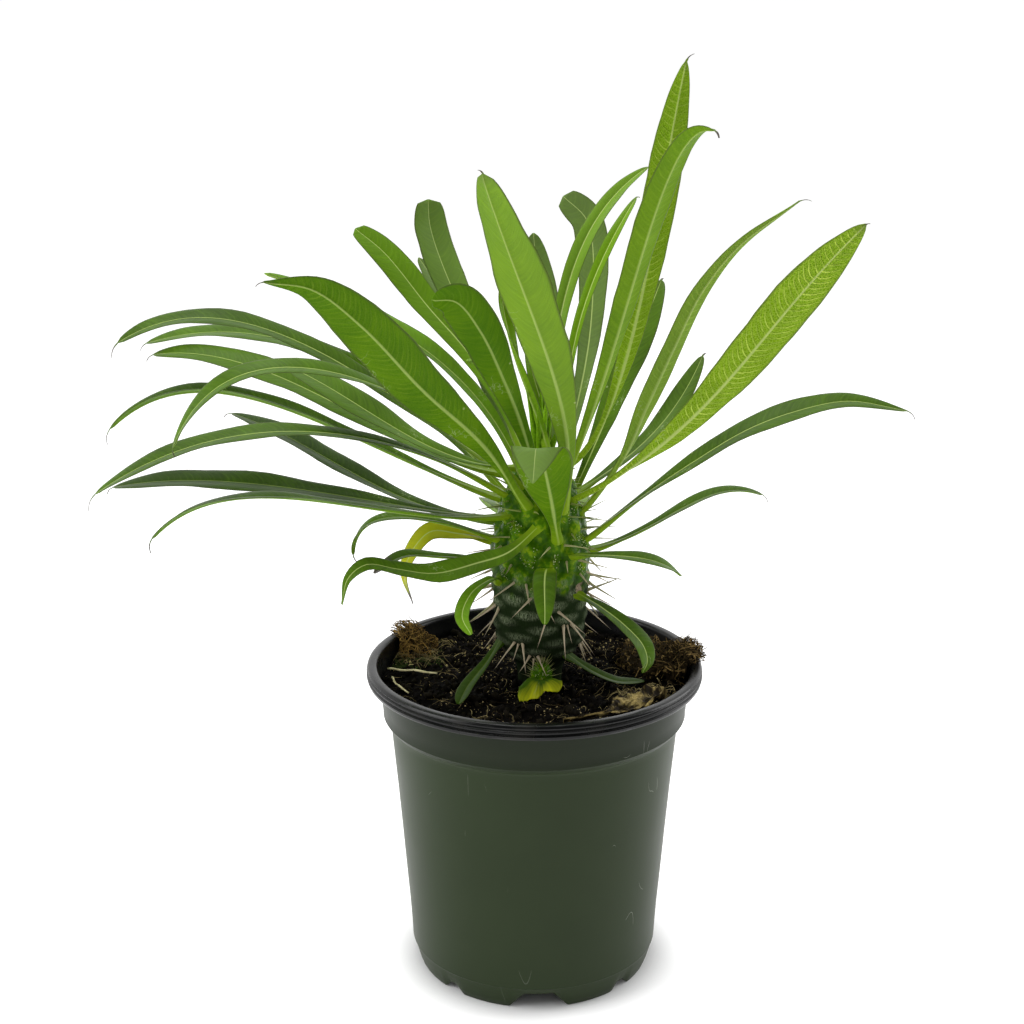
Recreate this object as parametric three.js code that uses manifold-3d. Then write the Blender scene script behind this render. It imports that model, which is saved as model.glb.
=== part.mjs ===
// A young Madagascar palm (Pachypodium) in its nursery pot. Millimetres, +Z up.
//
// The plant is a swollen, spiny stem whose knobs (podaria) follow the golden angle from the
// growing tip down. Each leaf grows from one knob, and is named for the knob's number, with 0 the
// youngest. Every other knob carries a pair of spines. The pot is a thin moulded shell with a
// rolled lip, a collar and notched feet.
// Everything is placed from the pot's own axis, with Z = 0 under its feet. The last lines move
// the whole object so that the origin is the centre of its bounding box, at the bottom.
import * as THREE from 'three';
import { mergeVertices } from 'three/addons/utils/BufferGeometryUtils.js';
import Module from 'manifold-3d';

const wasm = await Module();
wasm.setup();

const radians = THREE.MathUtils.degToRad;
const mix = THREE.MathUtils.lerp;

// ---- Driving dimensions -----------------------------------------------------------------------

const CLEARANCE = 0.35; // between neighbouring pieces
const SEED = 7;

const POT_WALL = 0.9;
const POT_SEGMENTS = 48;
const RIM_RADIUS = 78;
const RIM_Z = 150;
const LIP_HEIGHT = 7;
const LIP_WIDTH = 5;
const COLLAR_TOP_RADIUS = 72.2;
const COLLAR_FOOT_RADIUS = 70.2;
const COLLAR_FOOT_Z = 126;
const BODY_TOP_RADIUS = 67.1;
const BODY_TOP_Z = 123;
const BODY_FOOT_RADIUS = 58.2;
const BODY_FOOT_Z = 12;
const FOOT_RADIUS = 54.8;
const FLOOR_Z = 10.5;
const FLOOR_DEPTH = 1.4;
const FOOT_WIDTH = 1.4; // of the ring the pot stands on
const NOTCH_COUNT = 8; // wide and small ones by turns
const FIRST_NOTCH_ANGLE = 272; // the wide notch at the front
const WIDE_NOTCH = { height: 7, top: 14, foot: 28 };
const SMALL_NOTCH = { height: 3.5, top: 4, foot: 12 };
const NOTCH_DEPTH = 16; // what a notch cuts away, measured towards the axis
const DRAIN_HOLE_RADIUS = 5;
const DRAIN_HOLE_INSET = 12; // from the wall's foot to the middle of an outer hole

const SOIL_Z = 141;
const SOIL_SEGMENTS = 48;
const SOIL_RELIEF = 1.1;

const STEM_X = 2.5;
const STEM_SEGMENTS = 32;
const STEM_RINGS = 27;
const STEM_FOOT_Z = 112;
// Radius and height of the stem from its buried foot to its growing tip.
const STEM_OUTLINE = [
  [8, STEM_FOOT_Z],
  [10, 130],
  [11, 148],
  [16, 156],
  [20, 163],
  [21, 175],
  [21.5, 195],
  [20.5, 210],
  [18, 222],
  [15, 232],
  [11, 240],
  [7, 246],
];
const STEM_TOP_Z = 250;

const GOLDEN_ANGLE = 137.508;
const FIRST_KNOB_ANGLE = 20;
const KNOB_COUNT = 104;
const KNOB_SPACING = 1.15; // drop from knob to knob near the tip
const KNOB_PACKING = 0.95; // how that drop shrinks further down
const KNOB_HEIGHT = 1.3;
const KNOB_SIZE = 3.4;

const SPINE_LENGTH = 20;
const YOUNG_SPINE_LENGTH = 9;
const SPINE_RADIUS = 0.85;
const SPINE_SPREAD = 36; // degrees to each side of the knob
const YOUNG_SPINE_RISE = 30; // degrees above level near the top of the stem
const OLD_SPINE_RISE = -50; // and at its foot
const SPINE_ROOT = 2;
const FIRST_SPINY_KNOB = 6;

const PETIOLE_WIDTH = 4;
const PETIOLE_DEPTH = 2.4;
const BLADE_DEPTH = 0.65;
const RIB_DEPTH = 0.5; // how far the midrib stands out of the underside
const TIP_WIDTH = 1;
const WIDEST_AT = 0.68; // share of the length where the blade is widest
const TAPER = 1.35; // how slowly the blade widens from its petiole, and closes at its tip
const MOST_SWING = radians(28); // how far a leaf's tip turns aside past the line from its knob

// ---- Leaves -----------------------------------------------------------------------------------
// knob: the knob it grows from.  rise: the angle at which it leaves the knob, from level.
// lead: how far it turns aside, to the left seen from above, as it leaves the knob.
// tip: where it ends.  tipRise: the slope at which it ends.  width: its greatest width.
// roll: how far the blade turns about its midrib.  fold: the lift of its halves, in degrees.
// reach and curl: the two handles of its arc, as shares of its length.  hook: a thin drip tip.
// via: points on the midrib of a leaf that doesn't follow a plain arc.
// widest and taper: where it is widest, as a share of its length, and how slowly it widens and
// closes, for a leaf unlike the rest.

const YOUNG_LEAVES = [
  { knob: 0, rise: 84, tip: [-4, 14, 301], tipRise: 86, width: 7, fold: 25 },
  { knob: 1, rise: 58, tip: [-31, 4, 292], tipRise: 12, width: 10, fold: 15 },
  { knob: 2, rise: 86, lead: 30, tip: [-15, 16, 323], tipRise: 80, width: 8, fold: 25, reach: 0.2 },
  { knob: 3, rise: 80, tip: [54, 80, 369], tipRise: 22, width: 9, fold: 20, roll: 20, hook: 4 },
  {
    knob: 8, rise: 86, lead: 20, tip: [47, 50, 358], tipRise: 32,
    width: 7, fold: 20, reach: 0.5, hook: 4,
  },
];

const UPRIGHT_LEAVES = [
  {
    knob: 23, rise: 72, tip: [-21, -95, 384], tipRise: 69,
    width: 25, fold: 10, reach: 0.3, widest: 0.74, hook: 3,
  },
  {
    knob: 7,
    via: [[-6, -21, 266], [-14, -34, 290], [-24, -48, 315], [-34, -57, 329]],
    tip: [-43, -60, 330],
    width: 19, fold: 6, roll: 55, widest: 0.78,
  },
  {
    knob: 5, rise: 28, tip: [62, -20, 422], tipRise: 78,
    width: 15, fold: 10, roll: -65, reach: 0.2, taper: 1.6, hook: 5,
  },
  {
    knob: 10, rise: 58, tip: [68, -80, 399], tipRise: -10,
    width: 14, fold: 22, roll: -15, curl: 0.2, hook: 4,
  },
  {
    knob: 6,
    via: [[-16, 29, 267], [-32, 44, 288], [-50, 57, 306], [-71, 68, 330]],
    tip: [-85, 72, 341],
    width: 17, fold: 8, roll: -15, widest: 0.8,
  },
  { knob: 19, rise: 42, tip: [-131, 88, 317], tipRise: 18, width: 19, fold: 20 },
  {
    knob: 11,
    via: [[-11, 38, 263], [-25, 60, 287], [-40, 80, 313], [-50, 93, 339]],
    tip: [-51, 95, 352],
    width: 19, fold: 8, widest: 0.84,
  },
  { knob: 32, rise: 58, lead: 18, tip: [-57, 112, 321], tipRise: 45, width: 18, fold: 8 },
  { knob: 24, rise: 74, tip: [0, 85, 337], tipRise: 74, width: 18, fold: 10 },
  {
    knob: 16,
    via: [[22, 46, 268], [28, 72, 297], [29, 97, 332], [26, 102, 342]],
    tip: [15, 107, 352],
    width: 16, fold: 6, widest: 0.84,
  },
  { knob: 29, rise: 52, tip: [62, 80, 315], tipRise: 44, width: 17, fold: 12, hook: 3 },
];

const RIGHT_LEAVES = [
  {
    knob: 26,
    via: [[40, 0, 248], [50, 2, 270], [62, 4, 297], [74, 6, 322], [90, 8, 342]],
    tip: [116, 10, 361],
    width: 11, fold: 10, roll: -62, widest: 0.44, taper: 1.2, hook: 6,
  },
  {
    knob: 18, rise: 28, tip: [131, -65, 361], tipRise: 46,
    width: 20, fold: 6, roll: -62, taper: 1.6, hook: 2,
  },
  {
    knob: 39,
    via: [[47, -6, 230], [72, -4, 247], [96, -1, 261], [118, 1, 269], [141, 3, 273]],
    tip: [168, 5, 268],
    width: 17, fold: 10, roll: 18, widest: 0.6, hook: 6,
  },
  { knob: 21, rise: 22, tip: [80, 50, 284], tipRise: 58, width: 14, fold: 10, hook: 3 },
  { knob: 47, rise: 8, tip: [105, 8, 228], tipRise: -22, width: 12, fold: 15, hook: 5 },
  { knob: 44, rise: 12, tip: [66, -20, 198], tipRise: -46, width: 11, fold: 10, roll: 8, reach: 0.5 },
];

const LEFT_LEAVES = [
  {
    knob: 20,
    via: [[-22, -31, 260], [-48, -54, 291], [-71, -75, 322], [-89, -88, 339]],
    tip: [-106, -96, 343],
    width: 23, fold: 14, roll: 58, widest: 0.58, taper: 1.5, hook: 4,
  },
  {
    knob: 12, rise: 46, tip: [-148, -80, 273], tipRise: -68,
    width: 14, fold: 12, roll: -16, curl: 0.45, hook: 4,
  },
  { knob: 14, rise: 21, tip: [-190, 22, 296], tipRise: -30, width: 18, fold: 10, roll: -14, hook: 8 },
  { knob: 27, rise: 33, tip: [-187, 70, 286], tipRise: -16, width: 20, fold: 10, roll: -10, hook: 5 },
  {
    knob: 9, rise: 2, tip: [-174, 20, 291], tipRise: -10,
    width: 20, fold: 10, roll: -16, reach: 0.3, hook: 5,
  },
  { knob: 4, rise: 2, tip: [-110, -5, 291], tipRise: 14, width: 21, fold: 10, roll: -12 },
  { knob: 22, rise: 13, tip: [-196, 20, 256], tipRise: -44, width: 14, fold: 28, hook: 8 },
  { knob: 35, rise: -6, tip: [-149, 80, 249], tipRise: 8, width: 19, fold: 12, hook: 6 },
  { knob: 17, rise: 34, tip: [-188, -50, 245], tipRise: -34, width: 17, fold: 10, roll: -8, hook: 9 },
  {
    knob: 30, rise: 5, tip: [-194, 10, 231], tipRise: -14,
    width: 20, fold: 10, roll: -10, reach: 0.3, hook: 5,
  },
  { knob: 25, rise: 2, tip: [-165, -50, 225], tipRise: -48, width: 14, fold: 12, roll: 6, hook: 7 },
  { knob: 38, rise: 22, tip: [-82, -20, 208], tipRise: -88, width: 12, fold: 12, curl: 0.45, hook: 5 },
];

const LOW_LEAVES = [
  { knob: 37, rise: 14, tip: [14, 106, 180], tipRise: -45, width: 19, fold: 12, hook: 6 },
  { knob: 45, rise: 6, tip: [4, 84, 168], tipRise: -60, width: 16, fold: 12, hook: 5 },
  { knob: 40, rise: 16, tip: [-10, 102, 186], tipRise: -40, width: 18, fold: 12, hook: 6 },
  {
    knob: 49, rise: 4, lead: -22, tip: [4, -43, 183], tipRise: -80,
    width: 10, fold: 8, widest: 0.42, taper: 0.5,
  },
  {
    knob: 36,
    via: [[6.5, -37, 240], [2, -49, 262], [0, -54, 266], [-0.5, -58, 264]],
    tip: [-1.5, -66, 254],
    width: 25,
    fold: 3,
    widest: 0.64,
    taper: 2,
  },
  {
    knob: 43,
    via: [[-36, 3, 211], [-48, 3, 212], [-55, 2, 206], [-61, 2, 192]],
    tip: [-57, 2, 177],
    width: 11,
    fold: 6,
    roll: -35,
    widest: 0.45,
  },
  {
    knob: 51,
    via: [[-42, -13, 205], [-60, -19, 207]],
    tip: [-73, -22, 200],
    width: 11,
    fold: 15,
  },
  {
    knob: 28,
    via: [
      [-12, -29, 212], [-26, -32, 208], [-44, -40, 206], [-60, -46, 210], [-73, -49, 213],
      [-81, -50, 207],
    ],
    tip: [-84, -50, 195],
    width: 12,
    fold: 8,
    roll: -30,
    widest: 0.48,
  },
  {
    knob: 65,
    via: [[29, -29, 187], [40, -38, 181], [48, -42, 173], [50, -42, 165]],
    tip: [48, -42, 160],
    width: 12,
    fold: 10,
  },
  {
    knob: 59,
    via: [[-21, -28, 199], [-29, -35, 195], [-33, -40, 186]],
    tip: [-29, -42, 178],
    width: 8,
    fold: 10,
  },
  {
    knob: 93,
    via: [[-23, -17, 155], [-31, -26, 147.5]],
    tip: [-35, -37, 143],
    width: 8,
    fold: 15,
  },
  {
    knob: 99,
    via: [[27, -15, 150], [38, -16, 145.5]],
    tip: [51, -10, 143],
    width: 8,
    fold: 12,
  },
];

// ---- Colours ----------------------------------------------------------------------------------

const POT_GREEN = material('#36412d', 0.42);
const SOIL_BROWN = material('#1a140d', 0.95);
const STEM_GREEN = material('#3f5f2c', 0.6);
const LEAF_GREEN = material('#4f7a2a', 0.45);
const YOUNG_GREEN = material('#8fb030', 0.45);
const YELLOWED = material('#b9b52c', 0.5);
const STRAW = material('#d8c78f', 0.8);
const ROOT_BROWN = material('#4a3520', 0.95);
const DRY_LEAF = material('#8a6a35', 0.8);

function material(color, roughness) {
  return new THREE.MeshStandardMaterial({ color, roughness, metalness: 0 });
}

// ---- Small tools ------------------------------------------------------------------------------

const UP = new THREE.Vector3(0, 0, 1);

/** A repeatable draw between 0 and 1 for the whole number n. */
function draw(n) {
  const wave = Math.sin(n * 12.9898 + SEED * 78.233) * 43758.5453;
  return wave - Math.floor(wave);
}

function vector([x, y, z]) {
  return new THREE.Vector3(x, y, z);
}

/** The closed solid of a geometry, for a join or a cut. */
function solidOf(geometry) {
  const plain = geometry.clone();
  plain.deleteAttribute('normal');
  plain.deleteAttribute('uv');
  const merged = mergeVertices(plain, 1e-4);
  const vertProperties = new Float32Array(merged.attributes.position.array);
  const triVerts = new Uint32Array(merged.index.array);
  return new wasm.Manifold(new wasm.Mesh({ numProp: 3, vertProperties, triVerts }));
}

function geometryOf(solid) {
  const mesh = solid.getMesh();
  const geometry = new THREE.BufferGeometry();
  geometry.setAttribute('position', new THREE.BufferAttribute(mesh.vertProperties, 3));
  geometry.setIndex(new THREE.BufferAttribute(mesh.triVerts, 1));
  geometry.computeVertexNormals();
  return geometry;
}

/** A turned shape about Z from [radius, height] pairs that run with the outside on their right. */
function turned(outline, segments) {
  const points = outline.map(([radius, height]) => new THREE.Vector2(radius, height));
  const geometry = new THREE.LatheGeometry(points, segments);
  geometry.rotateX(Math.PI / 2);
  return geometry;
}

/** Joins a list of solids to the first one. */
function joined(solids) {
  return solids.reduce((whole, next) => whole.add(next));
}

// ---- Pot --------------------------------------------------------------------------------------

/** The inside of the pot, from the edge of its floor up to the lip. */
const POT_INSIDE = [
  [BODY_FOOT_RADIUS - POT_WALL, FLOOR_Z],
  [BODY_TOP_RADIUS - POT_WALL, BODY_TOP_Z + 0.4],
  [COLLAR_FOOT_RADIUS - POT_WALL, COLLAR_FOOT_Z + 0.4],
  [COLLAR_TOP_RADIUS - POT_WALL, RIM_Z - LIP_HEIGHT],
];

function potGeometry() {
  const lipFoot = RIM_Z - LIP_HEIGHT;
  const outside = [
    [0, FLOOR_Z - FLOOR_DEPTH],
    [BODY_FOOT_RADIUS - 2.4, FLOOR_Z - FLOOR_DEPTH],
    [FOOT_RADIUS - FOOT_WIDTH, 0],
    [FOOT_RADIUS, 0],
    [mix(FOOT_RADIUS, BODY_FOOT_RADIUS, 0.55), 4.5],
    [mix(FOOT_RADIUS, BODY_FOOT_RADIUS, 0.88), 9],
    [BODY_FOOT_RADIUS, BODY_FOOT_Z],
    [BODY_TOP_RADIUS, BODY_TOP_Z],
    [mix(BODY_TOP_RADIUS, COLLAR_FOOT_RADIUS, 0.7), BODY_TOP_Z + 1],
    [COLLAR_FOOT_RADIUS, COLLAR_FOOT_Z],
    [COLLAR_TOP_RADIUS, lipFoot],
    [RIM_RADIUS - 0.8, lipFoot],
    [RIM_RADIUS, lipFoot + 0.9],
    [RIM_RADIUS, RIM_Z - 1],
    [RIM_RADIUS - 1, RIM_Z],
    [RIM_RADIUS - LIP_WIDTH + 0.7, RIM_Z],
    [RIM_RADIUS - LIP_WIDTH, RIM_Z - 0.8],
  ];
  const inside = POT_INSIDE.toReversed();
  const shell = turned([...outside, ...inside, [0, FLOOR_Z]], POT_SEGMENTS);
  let pot = solidOf(shell);
  for (let i = 0; i < NOTCH_COUNT; i += 1) {
    const angle = radians(FIRST_NOTCH_ANGLE) + (i * 2 * Math.PI) / NOTCH_COUNT;
    const outerHole = drainHole().translate(BODY_FOOT_RADIUS - DRAIN_HOLE_INSET, 0, 0);
    const size = i % 2 === 0 ? WIDE_NOTCH : SMALL_NOTCH;
    pot = pot.subtract(solidOf(notch(size).rotateZ(angle)));
    pot = pot.subtract(solidOf(outerHole.rotateZ(angle)));
  }
  return geometryOf(pot.subtract(solidOf(drainHole())));
}

/** What one notch takes out of the foot ring, pointing along +X, and 1 mm below it. */
function notch(size) {
  const shape = new THREE.Shape();
  shape.moveTo(-size.foot / 2, -1);
  shape.lineTo(size.foot / 2, -1);
  shape.lineTo(size.foot / 2, 0);
  shape.lineTo(size.top / 2, size.height);
  shape.lineTo(-size.top / 2, size.height);
  shape.lineTo(-size.foot / 2, 0);
  shape.closePath();
  const geometry = new THREE.ExtrudeGeometry(shape, { depth: NOTCH_DEPTH, bevelEnabled: false });
  geometry.rotateX(Math.PI / 2);
  geometry.rotateZ(Math.PI / 2);
  geometry.translate(FOOT_RADIUS - NOTCH_DEPTH / 2, 0, 0);
  return geometry;
}

function drainHole() {
  const geometry = new THREE.CylinderGeometry(DRAIN_HOLE_RADIUS, DRAIN_HOLE_RADIUS, 6, 12);
  geometry.rotateX(Math.PI / 2);
  geometry.translate(0, 0, FLOOR_Z);
  return geometry;
}

// ---- Stem -------------------------------------------------------------------------------------

const STEM_SPLINE = new THREE.SplineCurve([
  ...STEM_OUTLINE.map(([radius, height]) => new THREE.Vector2(radius, height)),
  new THREE.Vector2(0, STEM_TOP_Z),
]);
const STEM_POINTS = STEM_SPLINE.getSpacedPoints(STEM_RINGS - 1);

/** The smooth stem's radius and the outward lean of its surface at a height. */
function stemAt(z) {
  const above = STEM_POINTS.findIndex((point) => point.y >= z);
  const upper = STEM_POINTS[above];
  const lower = STEM_POINTS[above - 1];
  const share = (z - lower.y) / (upper.y - lower.y);
  const lean = Math.atan2(lower.x - upper.x, upper.y - lower.y);
  return { radius: mix(lower.x, upper.x, share), lean };
}

/** Where knob n sits, which way it faces, and the level direction across it. */
function knob(n) {
  const azimuth = radians(FIRST_KNOB_ANGLE + GOLDEN_ANGLE * n);
  const z = STEM_TOP_Z - 1 - KNOB_SPACING * n ** KNOB_PACKING;
  const { radius, lean } = stemAt(z);
  const outward = new THREE.Vector3(Math.cos(azimuth), Math.sin(azimuth), 0);
  const facing = outward.clone().multiplyScalar(Math.cos(lean)).addScaledVector(UP, Math.sin(lean));
  const across = new THREE.Vector3(-Math.sin(azimuth), Math.cos(azimuth), 0);
  const place = new THREE.Vector3(STEM_X, 0, z).addScaledVector(outward, radius);
  return { azimuth, facing, across, place };
}

const KNOBS = Array.from({ length: KNOB_COUNT }, (_, n) => knob(n));

/** How far the knobs lift the stem's skin at a point. */
function knobLift(point) {
  let lift = 0;
  for (const { place } of KNOBS) {
    const distance = point.distanceTo(place) / KNOB_SIZE;
    lift += KNOB_HEIGHT * Math.exp(-distance * distance);
  }
  return lift;
}

function stemSkin() {
  const outline = [[0, STEM_FOOT_Z], ...STEM_POINTS.map((point) => [point.x, point.y])];
  outline[outline.length - 1][0] = 0;
  const geometry = turned(outline, STEM_SEGMENTS);
  geometry.translate(STEM_X, 0, 0);
  const position = geometry.attributes.position;
  for (let i = 0; i < position.count; i += 1) {
    const point = new THREE.Vector3().fromBufferAttribute(position, i);
    const outward = new THREE.Vector3(point.x - STEM_X, point.y, 0);
    const onAxis = outward.length() < 0.01;
    if (onAxis || point.z < SOIL_Z + 8) {
      continue;
    }
    const lift = knobLift(point);
    point.addScaledVector(outward.normalize(), lift);
    position.setXYZ(i, point.x, point.y, point.z);
  }
  return geometry;
}

/** The unit vector at a compass angle and a rise from level. */
function heading(angle, rise) {
  const level = Math.cos(rise);
  return new THREE.Vector3(Math.cos(angle) * level, Math.sin(angle) * level, Math.sin(rise));
}

const STEM_SKIN = solidOf(stemSkin());

/** A three-sided spine from root to point. */
function spineGeometry(root, direction, length, radius) {
  const geometry = new THREE.ConeGeometry(radius, length, 3);
  geometry.translate(0, length / 2, 0);
  const turn = new THREE.Quaternion().setFromUnitVectors(new THREE.Vector3(0, 1, 0), direction);
  geometry.applyQuaternion(turn);
  geometry.translate(root.x, root.y, root.z);
  return geometry;
}

/** The two long spines of knob n, under its leaf. */
function spinesOf(n) {
  const { azimuth, facing, across, place } = KNOBS[n];
  const age = THREE.MathUtils.smoothstep(n, FIRST_SPINY_KNOB, 30);
  return [-1, 1].map((side) => {
    const turn = azimuth + side * radians(SPINE_SPREAD + 10 * (draw(n * 4 + side) - 0.5));
    const droop = mix(YOUNG_SPINE_RISE, OLD_SPINE_RISE, n / KNOB_COUNT);
    const rise = radians(droop + 24 * (draw(n * 9 + side) - 0.5));
    const direction = heading(turn, rise);
    const length = mix(YOUNG_SPINE_LENGTH, SPINE_LENGTH, age) * mix(0.85, 1.15, draw(n * 5 + side));
    const root = place.clone().addScaledVector(across, side * 1.6).addScaledVector(UP, -2.6);
    root.addScaledVector(facing, -SPINE_ROOT);
    return { root, direction, length: length + SPINE_ROOT };
  });
}

/** The offset that grows from the foot of the stem: a small spiny bud. */
const PUP_PLACE = [3, -16.5, 142.8];
const PUP_OUTLINE = [
  [0, 0],
  [3.4, 0.2],
  [4.8, 4],
  [5, 8],
  [3.2, 12],
  [0, 14],
];

function pupSolids() {
  const bud = turned(PUP_OUTLINE, 10).translate(...PUP_PLACE);
  const spines = Array.from({ length: 12 }, (_, i) => {
    const direction = heading(radians(180 + GOLDEN_ANGLE * i), radians(mix(5, 60, i / 11)));
    const root = vector(PUP_PLACE).addScaledVector(UP, mix(5.5, 12, i / 11));
    return solidOf(spineGeometry(root, direction, 10, 0.8));
  });
  return [solidOf(bud), ...spines];
}

/** The rolled young leaves that stand as a tuft on the growing tip. */
const SPEAR_COUNT = 9;
const SPEAR_RADIUS = 1.5;
const SPEAR_LENGTHS = [40, 20]; // innermost and outermost
const SPEAR_RISES = [88, 66]; // degrees

function spears() {
  return Array.from({ length: SPEAR_COUNT }, (_, i) => {
    const share = i / (SPEAR_COUNT - 1);
    const angle = radians(FIRST_KNOB_ANGLE + 70 - GOLDEN_ANGLE * i);
    const direction = heading(angle, radians(mix(...SPEAR_RISES, share)));
    const root = new THREE.Vector3(STEM_X, 0, STEM_TOP_Z - 5);
    root.addScaledVector(heading(angle, 0), 2.5 * share);
    return { root, direction, length: mix(...SPEAR_LENGTHS, share) };
  });
}

/** The stem with every spine and spear that has room between the leaves. */
function stemGeometry(leafSolids) {
  const parts = [STEM_SKIN, ...pupSolids()];
  const grow = ({ root, direction, length }, radius) => {
    const room = solidOf(spineGeometry(root, direction, length + 0.6, radius + CLEARANCE));
    if (leafSolids.every((leaf) => leaf.intersect(room).isEmpty())) {
      parts.push(solidOf(spineGeometry(root, direction, length, radius)));
    }
  };
  for (let n = FIRST_SPINY_KNOB; n < KNOB_COUNT; n += 2) {
    spinesOf(n).forEach((spine) => grow(spine, SPINE_RADIUS));
  }
  spears().forEach((spear) => grow(spear, SPEAR_RADIUS));
  return geometryOf(largest(joined(parts).subtract(soilRoom())));
}

// ---- Leaves as solids -------------------------------------------------------------------------

/** The blade's width at a share u of its length: a petiole, then a long oval, then a point. */
function leafWidth(u, { width, widest = WIDEST_AT, taper = TAPER }) {
  const petiole = mix(Math.min(PETIOLE_WIDTH, width * 0.45), TIP_WIDTH, u);
  const start = 0.06;
  const v = THREE.MathUtils.clamp((u - start) / (1 - start), 0, 1);
  const close = (taper * (1 - widest)) / widest;
  const peak = widest ** taper * (1 - widest) ** close;
  return petiole + ((width - petiole) * v ** taper * (1 - v) ** close) / peak;
}

/** The midrib of a leaf as a curve from just off its knob to its tip. */
function midrib(leaf) {
  const { facing, place, azimuth } = KNOBS[leaf.knob];
  const base = place.clone().addScaledVector(facing, knobLift(place) + CLEARANCE);
  const tip = vector(leaf.tip);
  const chord = tip.clone().sub(base);
  const turn = Math.atan2(chord.y, chord.x) - azimuth;
  const swing = Math.atan2(Math.sin(turn), Math.cos(turn));
  if (leaf.via) {
    const points = [base, ...leaf.via.map(vector), tip];
    const curve = new THREE.CatmullRomCurve3(points, false, 'centripetal');
    return { curve, azimuth, tipAzimuth: azimuth + swing };
  }
  const tipAzimuth = azimuth + swing + THREE.MathUtils.clamp(swing, -MOST_SWING, MOST_SWING);
  const { lead = 0, reach = 0.4, curl = 0.36 } = leaf;
  const leaving = heading(azimuth + radians(lead), radians(leaf.rise));
  const arriving = heading(tipAzimuth, radians(leaf.tipRise));
  const leave = base.clone().addScaledVector(leaving, reach * chord.length());
  const arrive = tip.clone().addScaledVector(arriving, -curl * chord.length());
  return { curve: new THREE.CubicBezierCurve3(base, leave, arrive, tip), azimuth, tipAzimuth };
}

/** One cross-section of a leaf: left edge, midrib and right edge, above and below. */
function crossSection(centre, across, normal, width, lift, edgeDepth, ribDepth) {
  const half = width / 2;
  const left = centre.clone().addScaledVector(across, half * Math.cos(lift));
  const right = centre.clone().addScaledVector(across, -half * Math.cos(lift));
  left.addScaledVector(normal, half * Math.sin(lift));
  right.addScaledVector(normal, half * Math.sin(lift));
  const above = [left, centre.clone(), right];
  const depths = [edgeDepth, edgeDepth + ribDepth, edgeDepth];
  const below = above.map((point, i) => point.clone().addScaledVector(normal, -depths[i]));
  return [...above, ...below];
}

const STATIONS = [0, 0.04, 0.12, 0.25, 0.4, 0.55, 0.7, 0.83, 0.94, 1];
const VIA_STATIONS = [0, 0.06, 0.15, 0.25, 0.35, 0.45, 0.55, 0.65, 0.75, 0.85, 0.93, 1];
const HOOK_STEPS = 2;
const HOOK_BEND = radians(28);

function leafSections(leaf) {
  const { curve, azimuth, tipAzimuth } = midrib(leaf);
  const { facing } = KNOBS[leaf.knob];
  const { fold, roll = 0, hook = 0 } = leaf;
  const lift = radians(fold);
  const sections = [];
  let centre;
  let along;
  let level;
  for (const u of leaf.via ? VIA_STATIONS : STATIONS) {
    centre = curve.getPointAt(u);
    along = u === 0 ? facing.clone() : curve.getTangentAt(u);
    const angle = mix(azimuth, tipAzimuth, u);
    level = new THREE.Vector3(-Math.sin(angle), Math.cos(angle), 0);
    level.addScaledVector(along, -level.dot(along)).normalize();
    const turn = radians(roll) * THREE.MathUtils.smoothstep(u, 0, 0.35);
    const across = level.clone().applyAxisAngle(along, turn);
    const normal = new THREE.Vector3().crossVectors(along, across);
    const thin = THREE.MathUtils.smoothstep(u, 0, 0.22);
    const edgeDepth = mix(PETIOLE_DEPTH * 0.7, BLADE_DEPTH, thin);
    const ribDepth = mix(PETIOLE_DEPTH * 0.3, RIB_DEPTH * (1 - u), thin);
    const bend = lift * THREE.MathUtils.smoothstep(u, 0.03, 0.3);
    sections.push(
      crossSection(centre, across, normal, leafWidth(u, leaf), bend, edgeDepth, ribDepth),
    );
  }
  for (let step = 1; hook > 0 && step <= HOOK_STEPS; step += 1) {
    along.applyAxisAngle(level, HOOK_BEND);
    centre = centre.clone().addScaledVector(along, hook / HOOK_STEPS);
    const normal = new THREE.Vector3().crossVectors(along, level);
    sections.push(crossSection(centre, level, normal, TIP_WIDTH * 0.9, 0, BLADE_DEPTH, 0));
  }
  return sections;
}

/** Closes a row of six-point cross-sections into one thin solid, split alike on both faces. */
function bladeGeometry(sections) {
  const index = [];
  const at = (row, column) => row * 6 + column;
  const last = sections.length - 1;
  for (let row = 0; row < last; row += 1) {
    for (let column = 0; column < 2; column += 1) {
      const [a, b] = [at(row, column), at(row, column + 1)];
      const [d, c] = [at(row + 1, column), at(row + 1, column + 1)];
      index.push(a, b, c, a, c, d);
      index.push(a + 3, c + 3, b + 3, a + 3, d + 3, c + 3);
    }
    const [left, nextLeft] = [at(row, 0), at(row + 1, 0)];
    const [right, nextRight] = [at(row, 2), at(row + 1, 2)];
    index.push(left, nextLeft, nextLeft + 3, left, nextLeft + 3, left + 3);
    index.push(right, nextRight + 3, nextRight, right, right + 3, nextRight + 3);
  }
  for (let column = 0; column < 2; column += 1) {
    const [a, b] = [at(0, column), at(0, column + 1)];
    index.push(a, a + 3, b + 3, a, b + 3, b);
    const [c, d] = [at(last, column), at(last, column + 1)];
    index.push(c, d + 3, c + 3, c, d, d + 3);
  }
  const geometry = new THREE.BufferGeometry();
  const points = sections.flat().flatMap((point) => point.toArray());
  geometry.setAttribute('position', new THREE.Float32BufferAttribute(points, 3));
  geometry.setIndex(index);
  geometry.computeVertexNormals();
  return geometry;
}

/** Moves a leaf along the way its knob faces until only the clearance is left to the stem. */
function seated(geometry, n) {
  const gap = solidOf(geometry).minGap(STEM_SKIN, 4);
  const step = KNOBS[n].facing.clone().multiplyScalar(CLEARANCE - gap);
  return geometry.translate(step.x, step.y, step.z);
}

// ---- Soil and what lies on it -------------------------------------------------------------------

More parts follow.
